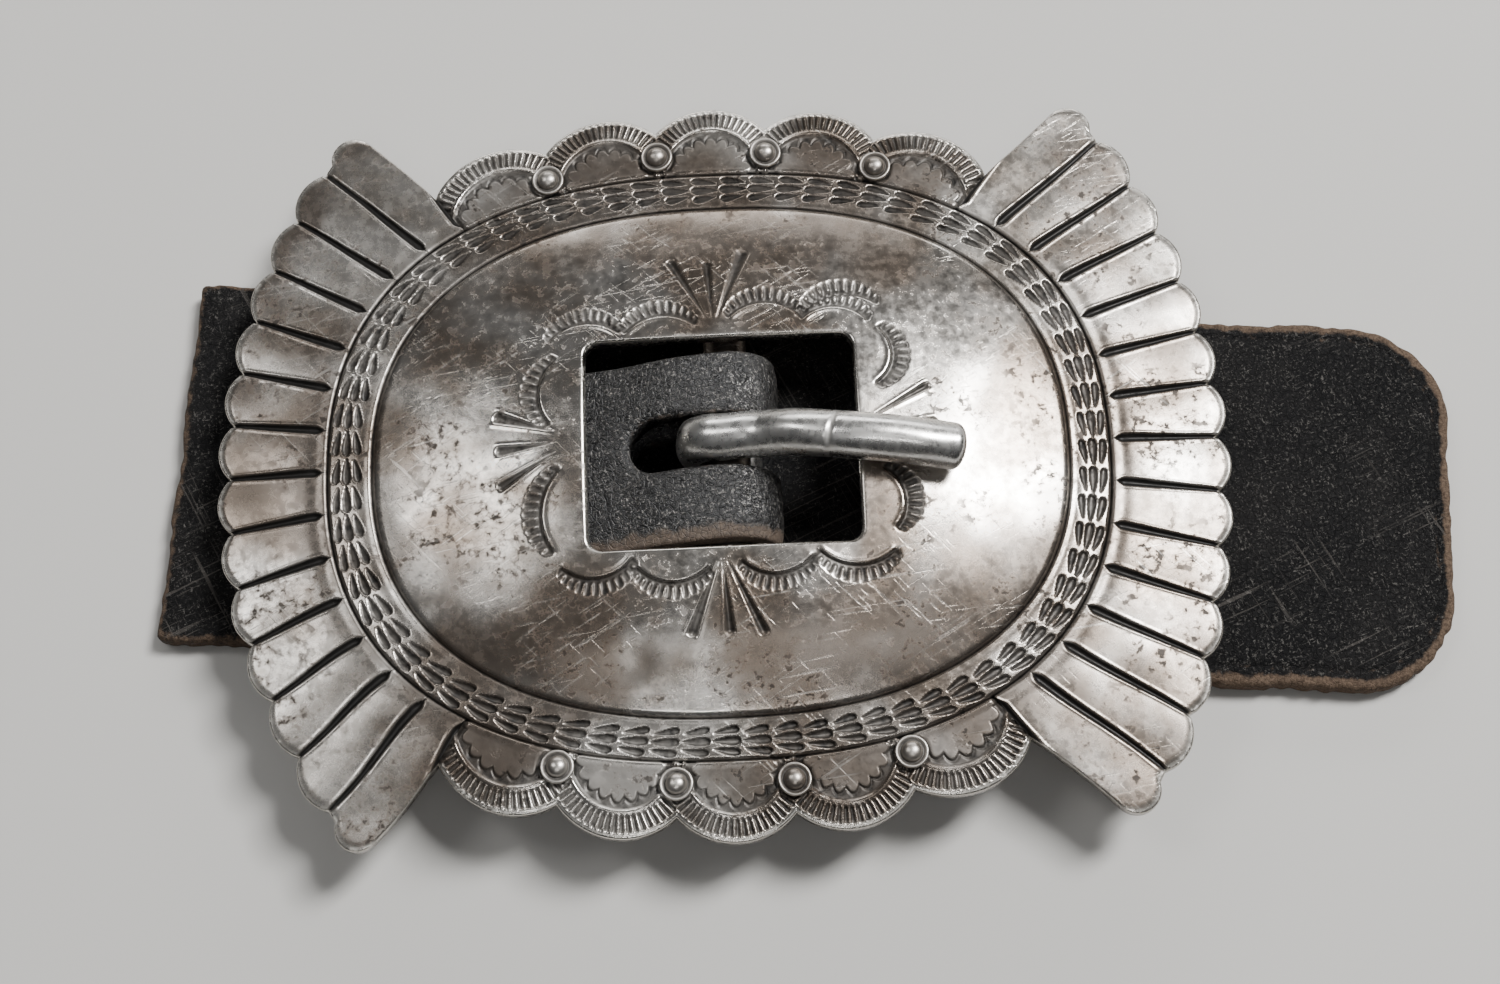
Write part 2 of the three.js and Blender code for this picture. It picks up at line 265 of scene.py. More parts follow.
def by_hand(x, y):
    """How far the work strays from true: the window's upper edge was sawn a little high, the
    band sits a little to the left, and the two lower fans lean to the right."""
    half_x, half_y, power = band_edge
    share = ((np.abs(x) / half_x) ** power + (np.abs(y) / half_y) ** power) ** (1 / power)
    angle = np.degrees(np.arctan2(y, x))
    outer = ease(1.03, 1.4, share)
    lower_left, lower_right = hump(angle + 142, 20) * outer, hump(angle + 40, 18) * outer
    near_band = ease(0.8, 0.95, share) * ease(1.3, 1.05, share) * np.abs(x) / half_x
    upper_edge = ease(5, 9, y) * ease(12.3, 9.4, y) * ease(15, 12.2, np.abs(x))
    return (1.2 * lower_left + 0.7 * lower_right - 0.4 * near_band,
            0.6 * upper_edge - 0.4 * lower_left)


def grid_piece(name, points, closed_rows=True, closed_columns=True, attributes=None):
    """A mesh from a grid of points in millimetres, rows by columns by 3. Each point joins the
    next in its row and in its column, and round again where that way is closed. Where the
    rows close and the columns don't, the first and last columns are filled. Points that
    coincide are merged, and the faces are turned so that the volume inside is positive."""
    rows, columns = points.shape[:2]
    flat = points.reshape(-1, 3)
    row = np.arange(rows if closed_rows else rows - 1)[:, None]
    column = np.arange(columns if closed_columns else columns - 1)[None, :]
    next_row, next_column = (row + 1) % rows, (column + 1) % columns
    quads = np.stack(np.broadcast_arrays(
        row * columns + column, row * columns + next_column,
        next_row * columns + next_column, next_row * columns + column), -1).reshape(-1, 4)
    first, second, third, fourth = (flat[quads[:, i]] for i in range(4))
    volume = (np.cross(first, second) * third).sum() + (np.cross(first, third) * fourth).sum()
    loops = [quads.ravel()]
    starts = np.arange(len(quads)) * 4
    if closed_rows and not closed_columns:
        first_loop = np.arange(rows) * columns
        loops += [first_loop, (first_loop + columns - 1)[::-1]]
        starts = np.concatenate([starts, len(quads) * 4 + np.array([0, rows])])
    loops = np.concatenate(loops)
    mesh = bpy.data.meshes.new(name)
    mesh.vertices.add(len(flat))
    mesh.vertices.foreach_set("co", (flat * MM).astype(np.float32).ravel())
    mesh.loops.add(len(loops))
    mesh.loops.foreach_set("vertex_index", loops.astype(np.int32))
    mesh.polygons.add(len(starts))
    mesh.polygons.foreach_set("loop_start", starts.astype(np.int32))
    mesh.polygons.foreach_set("use_smooth", np.ones(len(starts), bool))
    mesh.update(calc_edges=True)
    for label, values in (attributes or {}).items():
        layer = mesh.attributes.new(label, "FLOAT", "POINT")
        layer.data.foreach_set("value", values.astype(np.float32).ravel())
    shape = bmesh.new()
    shape.from_mesh(mesh)
    bmesh.ops.remove_doubles(shape, verts=shape.verts, dist=1e-8)
    if volume < 0:
        bmesh.ops.reverse_faces(shape, faces=shape.faces)
    shape.to_mesh(mesh)
    shape.free()
    piece = bpy.data.objects.new(name, mesh)
    bpy.context.scene.collection.objects.link(piece)
    return piece


def ring_section(top, top_z, thickness, edge_round=0.0):
    """Closes a top face, rows by columns by 2 with its heights, into a solid: after its last
    row come a rounded outer edge, where one is asked for, and a back face that returns to the
    first row. Returns the points, rows by columns by 3."""
    outward = top[-1] - top[-3]
    outward /= np.linalg.norm(outward, axis=-1, keepdims=True)
    layers = [np.concatenate([top, top_z[..., None]], -1)]
    turns = np.linspace(0, 0.5 * np.pi, 5)[1:, None, None] if edge_round else np.zeros((0, 1, 1))
    layers.append(np.concatenate([
        top[-1] + outward * edge_round * np.sin(turns),
        top_z[-1][:, None] - edge_round * (1 - np.cos(turns))], -1))
    back = np.linspace(len(top) - 1, 0, back_rows).round().astype(int)
    under = np.concatenate([top[back], (top_z[back] - thickness)[..., None]], -1)
    under[0, :, :2] += outward * edge_round
    layers.append(under)
    return np.concatenate(layers)


def paint(piece, material):
    """Gives a piece its material."""
    piece.data.materials.clear()
    piece.data.materials.append(material)


# The dome rises to the window, which was sawn out and filed, so its edge is bright. Round it the
# smith struck crescents with one curved, ridged stamp, and rays with a chisel.
crescents = [  # middle of the chord, its outward direction in degrees, and its length
    (-11.9, 10.5, 94, 6.3), (-5.1, 10.9, 95, 6.3), (4.1, 11.8, 91, 6.3), (10.4, 11.2, 87, 5.9),
    (10.9, 12.3, 97, 6.8), (-14.6, 5.5, 174, 6.3), (-14.5, -5.5, 175, 7.5), (13.9, 7.7, -5, 5.5),
    (14.3, -5.6, 9, 5.5), (-11.1, -10.3, -85, 6.3), (-4.6, -11.0, -92, 6.3), (4.4, -10.6, -88, 6.3),
    (11.3, -10.1, -91, 6.7),
]
rays = [  # root, direction in degrees, length and width at the outer end
    (-0.9, 11.7, 117, 7.0, 1.1), (-0.4, 11.9, 94, 5.7, 1.0), (0.0, 11.7, 70, 7.4, 1.5),
    (-14.6, 1.7, 161, 5.6, 1.3), (-14.8, 0.6, 184, 4.9, 1.1), (-14.5, -0.2, 210, 5.8, 1.0),
    (-0.7, -10.7, -112, 6.8, 1.1), (-0.3, -10.9, -86, 6.0, 1.0), (0.1, -10.7, -65, 7.0, 1.0),
    (13.0, 1.7, 30, 6.1, 0.8), (13.7, 0.9, 5, 5.0, 0.8), (13.2, 0.2, -20, 6.0, 0.8),
]


def struck_crescent(x, y, middle_x, middle_y, direction, chord, sagitta=1.4, depth=0.26):
    """Depth of one crescent: deepest along an arc, from which it rises outwards over a width
    that shrinks towards the arc's ends, with radial ridges, and a lip stands inside the arc."""
    turn = math.radians(direction)
    out = (x - middle_x) * math.cos(turn) + (y - middle_y) * math.sin(turn)
    along = (y - middle_y) * math.cos(turn) - (x - middle_x) * math.sin(turn)
    radius = (chord ** 2 / 4 + sagitta ** 2) / (2 * sagitta)
    spread = math.asin(min(chord / 2 / radius, 1))
    beyond = np.hypot(along, out + radius - sagitta) - radius
    share = np.arctan2(along, out + radius - sagitta) / spread
    inside_ends = ease(1.06, 0.9, np.abs(share))
    width = 1.55 * (1 - 0.6 * np.minimum(share ** 2, 1))
    wall = ease(-0.14, 0.02, beyond)
    slope = np.clip(1 - beyond / width, 0, 1)
    ridges = 1 - 0.8 * (0.5 + 0.5 * np.cos(share * np.pi * 12)) ** 2 * ease(0.15, 0.5, beyond)
    lip = 0.05 * hump(beyond + 0.34, 0.17)
    return (lip - depth * wall * slope ** 0.45 * ridges) * inside_ends


def struck_ray(x, y, root_x, root_y, direction, length, width, depth=0.32):
    """Depth of one ray: a V between two lips that widens and deepens from its pointed root to
    its squared outer end."""
    turn = math.radians(direction)
    along = (x - root_x) * math.cos(turn) + (y - root_y) * math.sin(turn)
    aside = np.abs((y - root_y) * math.cos(turn) - (x - root_x) * math.sin(turn))
    share = np.clip(along / length, 0, 1)
    half = 0.5 * width * (0.1 + 0.9 * share)
    within = ease(-0.1, 0.15, along) * ease(length + 0.08, length - 0.22, along)
    valley = np.clip(1 - aside / half, 0, 1) * (0.25 + 0.75 * share)
    lip = 0.05 * hump(aside - half - 0.1, 0.13) * (0.3 + 0.7 * share)
    return (lip - depth * valley) * within


def dome_relief(x, y):
    """Everything that was struck into the dome, and the unevenness that raising it left."""
    relief = sum(struck_crescent(x, y, *mark) for mark in crescents)
    relief = relief + sum(struck_ray(x, y, *mark) for mark in rays)
    for dent_x, dent_y in ((-7.8, -19.2), (-2.8, -21.0), (2.6, -19.5)):
        relief = relief - 0.13 * hump(np.hypot((x - dent_x) / 1.5, y - dent_y), 1.7)
    return relief


dome_angles = even_angles(lambda a: window_edge(a) + oval(dome_edge, a), 900)
dome_shares = np.concatenate([
    [0, 0.006, 0.014, 0.024], np.linspace(0.034, 0.62, 70), np.linspace(0.62, 1, 20)[1:]])
inner_edge, outer_edge = window_edge(dome_angles), oval(dome_edge, dome_angles)
dome_top = inner_edge + (outer_edge - inner_edge) * dome_shares[:, None, None]
dome_shift = np.stack(by_hand(dome_top[..., 0], dome_top[..., 1]), -1)
dome_top = dome_top + dome_shift
inner_edge, outer_edge = inner_edge + dome_shift[0], outer_edge + dome_shift[-1]
dome_x, dome_y = dome_top[..., 0], dome_top[..., 1]
from_window = np.linalg.norm(dome_top - inner_edge, axis=-1)
from_line = np.linalg.norm(outer_edge - dome_top, axis=-1)
relief = dome_relief(dome_x, dome_y)
waves = 0.05 * unevenness(dome_x, dome_y, 10, 3) + 0.015 * unevenness(dome_x, dome_y, 4.2, 4)
window_bevel = -0.3 * (1 - np.minimum(from_window / 0.34, 1)) ** 2
line_cut = -inner_line_depth * hump(from_line, line_width)
dome_heights = (dome_z(dome_x, dome_y) + relief + waves * ease(0, 2, from_line)
                + window_bevel + line_cut)
dome_points = ring_section(dome_top, dome_heights, plate_thickness)


def with_back(values, points, edge_value, back_value):
    """A value for each point of a top face, with others for its rounded edge and its back."""
    spare = points.shape[0] - values.shape[0]
    rest = np.full((spare, values.shape[1]), float(back_value))
    rest[:spare - back_rows] = edge_value
    return np.concatenate([values, rest])


dome_recess = ease(0.02, 0.09, -relief) * ease(17.5, 16.5, -dome_y) + hump(from_line, 0.15)
dome_plate = grid_piece("face_plate_dome", dome_points, attributes={
    "recess_and_shade": with_back(dome_recess, dome_points, 0.25, 0.25),
    "worn_edge_and_highlight": with_back(hump(from_window, 0.35), dome_points, 0, 0)})

# The rope band between two incised lines is one stamp struck some seventy times: three petals
# side by side, round end first, whose tips point the same way round.
band_stamps, stamp_columns = 73, 26
band_columns = band_stamps * stamp_columns


def petal(along, across, length, half_width, offset, depth):
    """Depth of one teardrop of the given length: it lies from its tip, at along = 0, to its
    round end, and a petal beside the middle one curves in towards the tip."""
    share = np.clip(along / length, 0, 1)
    centre = offset * (1 - 0.34 * (1 - share) ** 1.6)
    half = 1.5 * half_width * share ** 0.75 * np.sqrt(np.maximum(1 - share ** 4, 0)) + 1e-6
    hollow = np.clip(1 - ((across - centre) / half) ** 2, 0, 1) ** 0.55
    return -depth * hollow * (0.45 + 0.55 * share) * ((along > 0) & (along < length))


band_angles = even_angles(lambda a: oval(dome_edge, a) + oval(band_edge, a), band_columns)
band_inner, band_outer = oval(dome_edge, band_angles), oval(band_edge, band_angles)
band_shares = np.linspace(0, 1, 36)[:, None, None]
band_top = band_inner + (band_outer - band_inner) * band_shares
band_width = np.linalg.norm(band_outer - band_inner, axis=-1)
across = band_shares[..., 0] * band_width
band_middle = band_inner + band_outer  # twice the line midway between its edges
mid_length = np.linalg.norm(np.roll(band_middle, -1, 0) - band_middle, axis=1).sum() / 2
pitch = mid_length / band_stamps
along = np.broadcast_to((np.arange(band_columns) / stamp_columns % 1) * pitch, across.shape)
hand = np.random.default_rng(8).normal(0, 1, (2, band_stamps)).repeat(stamp_columns, axis=1)
strike = 1 + 0.14 * hand[0]
middle = band_width - 1.6 + 0.05 * hand[1]
rope = sum(
    petal(along - start, across - middle, length, half, offset, 0.3 * strike)
    for start, length, half, offset in (
        (0.05, 2.5, 0.43, 0.0), (0.2, 2.25, 0.37, 0.98), (0.2, 2.25, 0.37, -0.98)))
inner_line = -inner_line_depth * hump(across, line_width)
outer_line = -outer_line_depth * hump(band_width - across, line_width)
hollow_strip = -0.06 * hump(across - 0.6, 0.4)
band_heights = (dome_edge_z - band_fall * band_shares[..., 0] + rope + inner_line + outer_line
                + hollow_strip + 0.03 * unevenness(band_top[..., 0], band_top[..., 1], 7, 5))
band_points = ring_section(band_top, band_heights, plate_thickness)
band_points[..., :2] += np.stack(by_hand(band_points[..., 0], band_points[..., 1]), -1)
band_recess = (0.9 * ease(0.0, 0.07, -rope) + hump(across, 0.15) + hump(band_width - across, 0.15)
               + 0.12 + 0.1 * ease(2, 0.5, across))
band_plate = grid_piece("face_plate_band", band_points, attributes={
    "recess_and_shade": with_back(band_recess, band_points, 0.25, 0.25)})

# The rim is two fans of feathers, cut apart by V grooves, and two rows of scallops between them.
# One fan and one row are shaped here. The others are the same, turned half a turn, and then each
# is shifted as the hand strayed.
feathers, feather_pitch, groove_pitch = 14, math.radians(6.6), math.radians(6.47)
fan_notches, scallop_notches = (43.7, 51.5, 2.0), (46.7, 32.1)
feather_bulge, scallops, scallop_bulge = 1.2, 5, 2.35
fan_end = np.array([25.3, 26.4])
tip_x, tip_y, tip_radius = 33.2, 31.1, 2.05
edge_round = 0.22


def arc_between(start, end, height, count):
    """Points of a circular arc that stands out from the chord between two points, which run
    anticlockwise round the plate, by a height. The end point is left to the next arc."""
    half = np.linalg.norm(end - start) / 2
    radius = (half ** 2 + height ** 2) / (2 * height)
    spread = math.asin(min(half / radius, 1))
    ahead = (end - start) / (2 * half)
    out = np.array([ahead[1], -ahead[0]])
    turn = spread * (2 * np.arange(count)[:, None] / count - 1)
    rise = height - radius * (1 - np.cos(turn))
    return (start + end) / 2 + radius * np.sin(turn) * ahead + rise * out


def spread_evenly(line, count):
    """Points evenly spaced along a line from its first point. Its last is left out."""
    length = distance_along(line)
    places = np.arange(count) / count * length[-1]
    return np.stack([np.interp(places, length, line[:, i]) for i in range(2)], -1)


def long_feather(notch, count):
    """The long feather at a fan's upper end: from its side notch round its tip and straight
    back to the fan's end, evenly spaced."""
    turn = np.radians(np.linspace(-15, 135.5, 40))
    tip = np.stack([tip_x + tip_radius * np.cos(turn), tip_y + tip_radius * np.sin(turn)], -1)
    return spread_evenly(np.concatenate([[notch], tip, [fan_end]]), count)


def rim_patch(name, lobes, angles, rows, relief_of, half_turn):
    """One patch of the rim, over a list of lobes, each a run of outline points, whose ends
    meet the band at the angles given. Its rows run straight from the band to the outline."""
    counts = [len(lobe) for lobe in lobes]
    outline = np.concatenate(lobes)
    lobe_of = np.concatenate([np.full(n, i) for i, n in enumerate(counts)] + [[len(lobes) - 1]])
    shares = np.concatenate([np.arange(n) / n for n in counts] + [[1.0]])
    outline = np.concatenate([outline, [angles[1]]])
    edges = np.asarray(angles[0])
    angle = edges[lobe_of] + (edges[lobe_of + 1] - edges[lobe_of]) * shares
    band = oval(band_edge, angle)
    length = np.linalg.norm(outline - band, axis=-1)
    row_shares = np.linspace(0, 1, rows)[:, None, None]
    top = band + (outline - band) * row_shares * ((length - edge_round) / length)[:, None]
    beyond = np.linalg.norm(top - band, axis=-1)
    relief, recess_and_shade = relief_of(top, beyond, lobe_of, shares, length)
    line_cut = outer_line_depth * hump(beyond, line_width)
    heights = band_edge_z - rim_slope * beyond + relief - line_cut
    recess_and_shade = recess_and_shade + hump(beyond, 0.15)
    points = ring_section(top, heights, plate_thickness, edge_round)
    if half_turn:
        points[..., :2] *= -1
    points[..., :2] += np.stack(by_hand(points[..., 0], points[..., 1]), -1)
    # The outer rounded edge is painted light: partly rubbed wear, partly a painted highlight on a
    # bevel that would mirror the dark room.
    worn_and_highlight = hump(length - edge_round - beyond, 0.25) * ease(1, 0.2, recess_and_shade)
    return grid_piece(name, points, closed_columns=False, attributes={
        "recess_and_shade": with_back(recess_and_shade, points, 0, 0.25), "worn_edge_and_highlight": with_back(worn_and_highlight, points, 0.8, 0)})


def feather_notch(index):
    """A notch between two feathers, or the fan's end, on the right-hand fan."""
    if index in (0, feathers):
        return fan_end * (1, -1 if index == 0 else 1)
    return oval(fan_notches, (index - feathers / 2) * feather_pitch)


def fan_relief(top, beyond, lobe_of, shares, length):
    """Feathers swell a little between V grooves, which start as points just outside the
    band and have raised burrs along both sides."""
    relief = 0.05 * (1 - (2 * shares - 1) ** 2) * ease(0.6, 3.5, beyond)
    recess_and_shade = np.zeros_like(beyond) + 0.26 + 0.2 * ease(1.3, 0.4, beyond)
    for side in (0, 1):
        index = lobe_of + side
        ends = np.array([feather_notch(i) for i in range(feathers + 1)])[index]
        roots = oval(band_edge, (index - feathers / 2) * groove_pitch)
        along = (ends - roots) / np.linalg.norm(ends - roots, axis=-1, keepdims=True)
        offset = top - roots
        aside = np.abs(offset[..., 0] * along[:, 1] - offset[..., 1] * along[:, 0])
        half = (0.52 - 0.3 * beyond / length) * ease(0.3, 1.3, beyond) + 1e-6
        valley = np.clip(1.3 - 1.3 * aside / half, 0, 1)
        burr = 0.03 * hump(aside - half - 0.08, 0.1)
        relief = relief - 0.3 * valley * ease(0.3, 1.2, beyond) + burr
        recess_and_shade = recess_and_shade + np.clip(valley * 2.5, 0, 1) * ease(0.1, 0.4, beyond)
    relief = relief + 0.04 * unevenness(top[..., 0], top[..., 1], 6, 6) * ease(0, 2, beyond)
    relief = relief - 0.07 * hump(beyond - 1.0, 0.6)
    return relief - 0.12 * ease(0.5, 0.0, length - edge_round - beyond), recess_and_shade


def scallop_notch(index):
    """A notch between two scallops of the upper row, or one of its ends."""
    x = fan_end[0] * (1 - 2 * index / scallops)
    if index in (0, scallops):
        return np.array([x, fan_end[1]])
    return np.array([x, scallop_notches[1] * math.sqrt(1 - (x / scallop_notches[0]) ** 2)])


raindrop_centres = np.array([(-15.0, 27.3), (-5.0, 29.2), (5.0, 29.2), (15.0, 27.3)])


def scallop_relief(top, beyond, lobe_of, shares, length):
    """Each scallop's stamp is worked out round the middle of its arc: a plain rim, a fringe of
    radial chisel marks, a raised line, and a row of small cusps on a sunken ground."""
    notches = np.array([scallop_notch(i) for i in range(scallops + 1)])
    start, end = notches[lobe_of], notches[lobe_of + 1]
    half = np.linalg.norm(end - start, axis=-1) / 2
    ahead = (end - start) / (2 * half[:, None])
    out = np.stack([ahead[:, 1], -ahead[:, 0]], -1)
    radius = (half ** 2 + scallop_bulge ** 2) / (2 * scallop_bulge)
    centre = (start + end) / 2 + out * (scallop_bulge - radius)[:, None]
    offset = top - centre
    rise = (offset * out).sum(-1)
    run = (offset * ahead).sum(-1)
    inside = radius - np.hypot(rise, run)
    turn = np.arctan2(run, rise) / np.arcsin(np.minimum(half / radius, 1))
    fringe = np.clip(np.cos(turn * np.pi * 17) * 1.6 + 0.5, 0, 1)
    fringe = fringe * ease(0.42, 0.6, inside) * ease(2.0, 1.75, inside)
    line = hump(inside - 2.25, 0.14)
    cusp_place = ((turn * 2.4 + 0.5) % 1) * 2 - 1
    arch = inside - 2.95 - 0.6 * cusp_place ** 2
    cusp = hump(arch, 0.15) * ease(1.05, 0.95, np.abs(turn))
    strip = ease(2.45, 2.6, inside) * ease(0.1, -0.1, arch)
    sunk = ease(1.9, 2.6, inside) * ease(0.2, 0.9, beyond)
    near_drop = np.min([np.linalg.norm(top - c, axis=-1) for c in raindrop_centres], axis=0)
    seat = hump(near_drop - 1.5, 0.2)
    relief = -0.2 * fringe + 0.13 * line - 0.12 * cusp - 0.08 * strip - 0.08 * sunk - 0.1 * seat
    relief = relief * ease(1.3, 1.6, near_drop + 0.3)
    edge_end = np.minimum(*(np.abs(np.stack([shares + lobe_of, scallops - shares - lobe_of])) * 10))
    relief = relief - 0.3 * hump(edge_end, 0.3)
    recess_and_shade = (fringe + cusp + 0.5 * strip + 0.12 + 0.45 * sunk + 0.6 * seat - 0.7 * line
              + hump(edge_end, 0.3))
    relief = relief - 0.1 * ease(0.4, 0.0, length - edge_round - beyond)
    return relief, np.clip(recess_and_shade, 0, 1)


upper_feather = long_feather(feather_notch(feathers - 1), 80)
fan_lobes = [np.concatenate([[fan_end * (1, -1)], upper_feather[:0:-1] * (1, -1)])]
fan_lobes += [arc_between(feather_notch(i), feather_notch(i + 1), feather_bulge, 52)
              for i in range(1, feathers - 1)]
fan_lobes.append(upper_feather)
fan_angles = [(i - feathers / 2) * groove_pitch for i in range(feathers + 1)]
scallop_lobes = [arc_between(scallop_notch(i), scallop_notch(i + 1), scallop_bulge, 150)
                 for i in range(scallops)]
scallop_angles = [fan_angles[-1]] + [
    math.atan2(*scallop_notch(i)[::-1]) for i in range(1, scallops)] + [math.pi - fan_angles[-1]]
fan = (fan_lobes, (fan_angles, fan_end), 52, fan_relief)
scallop_row = (scallop_lobes, (scallop_angles, scallop_notch(scallops)), 58, scallop_relief)
rim_pieces = [
    rim_patch("face_plate_fan_right", *fan, False),
    rim_patch("face_plate_fan_left", *fan, True),
    rim_patch("face_plate_scallops_top", *scallop_row, False),
    rim_patch("face_plate_scallops_bottom", *scallop_row, True),
]


# Old coin silver: bright where it is rubbed, grey where it is dull, browned in drifting patches
# with small black pits, covered in fine scratches, and blackened in everything struck below
# the surface. The same bright tint also paints a highlight on the rim's rounded edges, and the
# same black paints shade on the tongue's underside and on its loop round the bar.
def scratches(tree, coordinates, degrees, spread_mm, coverage):
    """Straight fine scratches along one direction: noise drawn out fifty to one, of which
    only the peaks are kept, and those only in patches. Drawn as coarse as they need to show."""
    turned = add_node(tree, "Mapping", {
        "Vector": coordinates, "Rotation": (0, 0, math.radians(degrees)),
        "Scale": (50, 1, 3)}, vector_type="TEXTURE")
    lines, patches = (
        add_node(tree, "TexNoise", {
            "Vector": vector, "Scale": 1 / (size * MM), "Detail": detail, "Roughness": break_up})
        for vector, size, detail, break_up in (
            (turned, spread_mm, 2, 0.6), (coordinates, 9 + spread_mm * 3, 1, 0.55)))
    peaks, places = (
        add_node(tree, "MapRange", {"Value": value, "From Min": low, "From Max": high},
                 interpolation_type="SMOOTHSTEP")
        for value, low, high in ((lines, coverage, coverage + 0.035), (patches, 0.48, 0.6)))
    return add_node(tree, "Math", {0: peaks, 1: places}, operation="MULTIPLY")


def silver_material(name, bright, dull, tarnish, tarnish_amount, roughness, relief=1.0):
    """Aged silver in three tones, with an amount of brown tarnish from 0 to 1."""
    material, tree, output = new_material(name)
    place = add_node(tree, "TexCoord", output="Object")
    recess_and_shade, rub_and_highlight = (add_node(tree, "Attribute", output="Fac", attribute_name=label)
                      for label in ("recess_and_shade", "worn_edge_and_highlight"))
    drift, mottle, specks, tone, gathering = (
        add_node(tree, "TexNoise", {
            "Vector": place, "Scale": 1 / (size * MM), "Detail": detail, "Roughness": break_up})
        for size, detail, break_up in (
            (15, 3, 0.6), (0.9, 12, 0.66), (0.8, 5, 0.65), (8, 5, 0.62), (9, 5, 0.62)))
    # A thin brown film drifts over it, and breaks into crusts with black cores.
    dullness, film, cluster, crust, core, grit, rough = (
        add_node(tree, "MapRange", {
            "Value": value, "From Min": low, "From Max": high, "To Min": start, "To Max": end},
            interpolation_type="SMOOTHSTEP")
        for value, low, high, start, end in (
            (tone, 0.38, 0.64, 0, 1), (drift, 0.4, 0.58, 0, 0.85 * tarnish_amount),
            (gathering, 0.42, 0.58, 0, tarnish_amount), (mottle, 0.51, 0.54, 0, 1),
            (mottle, 0.575, 0.595, 0, 1), (specks, 0.25, 0.6, 1, 0.8),
            (mottle, 0.3, 0.7, roughness - 0.07, roughness + 0.07)))
    blotch, pits = (add_node(tree, "Math", {0: part, 1: cluster}, operation="MULTIPLY")
                    for part in (crust, core))
    dirt_and_shade = add_node(tree, "Math", {0: recess_and_shade, 1: grit}, operation="MULTIPLY", use_clamp=True)
    lines = scratches(tree, place, 31, 0.26, 0.625)
    for degrees, spread_mm in ((-47, 0.3), (8, 0.28)):
        lines = add_node(tree, "Math", {
            0: lines, 1: scratches(tree, place, degrees, spread_mm, 0.63)}, operation="MAXIMUM")
    colour = add_node(tree, "Mix", {0: dullness, 6: bright, 7: dull}, 2, data_type="RGBA")
    for mask, amount, tint in (
            (film, 1, tarnish), (blotch, 0.5, "#6f6155"), (pits, 1, "#2d2620"),
            (lines, 0.3, "#d5d0c8"), (dirt_and_shade, 1, "#181614"), (rub_and_highlight, 0.75, "#dad6ce")):
        share = add_node(tree, "Math", {0: mask, 1: amount}, operation="MULTIPLY")
        colour = add_node(tree, "Mix", {0: share, 6: colour, 7: tint}, 2, data_type="RGBA")
    # The dark fill, dirt in the hollows and painted shade on the tongue, is matt, and so are the
    # pits and, faintly, the film.
    matt = add_node(tree, "Math", {0: film, 1: 0.2}, operation="MULTIPLY")
    for mask in (dirt_and_shade, pits):
        matt = add_node(tree, "Math", {0: matt, 1: mask}, operation="MAXIMUM")
    rough = add_node(tree, "Math", {0: matt, 1: 0.25, 2: rough}, operation="MULTIPLY_ADD",
                     use_clamp=True)
    metal = add_node(tree, "Math", {0: matt, 1: -0.5, 2: 1.0}, operation="MULTIPLY_ADD")
    height = add_node(tree, "Math", {0: specks, 1: 0.25}, operation="MULTIPLY")
    for mask, depth in ((lines, -0.5), (pits, -1)):
        height = add_node(tree, "Math", {0: mask, 1: depth, 2: height},
                          operation="MULTIPLY_ADD")
    bump = add_node(tree, "Bump", {
        "Height": height, "Strength": 0.5 * relief, "Distance": 0.03 * MM})
    shader = add_node(tree, "BsdfPrincipled", {
        "Base Color": colour, "Metallic": metal, "Roughness": rough, "Normal": bump})
    tree.links.new(shader, output.inputs["Surface"])
    return material


aged_silver = silver_material("aged_coin_silver", "#d4cfc8", "#a49d94", "#6a5c50", 0.9, 0.22)
for piece in [dome_plate, band_plate] + rim_pieces:
    paint(piece, aged_silver)
    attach(piece, "buckle")
    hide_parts("face_plate")


# ---- Raindrops ----
# Eight balls of melted silver, each soldered in a flattened ring of its own at the joint of two
# scallops, with a black gap between ball and ring.
def lathe(name, radius, height, place, sides=64, wobble=0.0, seed=0, attributes=None):
    """A profile, radius against height from its lower pole to its upper one, turned round an
    upright axis at a place. Wobble, in millimetres, makes it slightly uneven, as by hand."""
    turn = np.arange(sides) / sides * 2 * np.pi
    radius, height = np.asarray(radius, float)[:, None], np.asarray(height, float)[:, None]
    uneven = radius * (1 + wobble * unevenness(np.cos(turn), np.sin(turn), 3.0, seed)[None, :])
    points = np.stack(np.broadcast_arrays(
        place[0] + uneven * np.cos(turn), place[1] + uneven * np.sin(turn), place[2] + height), -1)
    values = {label: np.broadcast_to(np.asarray(v, float)[:, None], points.shape[:2])
              for label, v in (attributes or {}).items()}
    return grid_piece(name, points, closed_rows=False, attributes=values)


ball_turn = np.linspace(0, np.pi / 2, 14)
drop_radius = np.concatenate([[0, 1.4, 1.45, 1.42, 1.34, 1.22, 1.08, 0.97],
                              0.94 * np.cos(ball_turn)])
drop_height = np.concatenate([[-0.3, -0.3, 0.02, 0.17, 0.24, 0.2, 0.06, 0.02],
                              0.06 + 0.68 * np.sin(ball_turn)])
drop_gap = np.concatenate([[1, 1, 0.6, 0, 0, 0.5, 1, 1], 0.8 * hump(ball_turn, 0.45)])
drop_rub = np.concatenate([[0, 0, 0, 0.3, 0.5, 0, 0, 0], 0.5 * ease(1.0, 1.4, ball_turn)])
raindrop_silver = silver_material(
    "rubbed_raindrop_silver", "#c9c4bd", "#a39c94", "#776a5e", 0.5, 0.34, 0.5)
for row in ("top", "bottom"):
    for number in range(1, 5):
        node = f"raindrop_{row}_{number}"
        low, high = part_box(node)
        middle = (low + high) / 2 / MM
        drop = lathe(f"{node}_ball_and_ring", drop_radius, drop_height,
                     (middle.x, middle.y, low.z / MM - 0.12), 64, 0.03, number,
                     {"recess_and_shade": drop_gap, "worn_edge_and_highlight": drop_rub})
        paint(drop, raindrop_silver)
        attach(drop, "buckle")
        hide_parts(node)


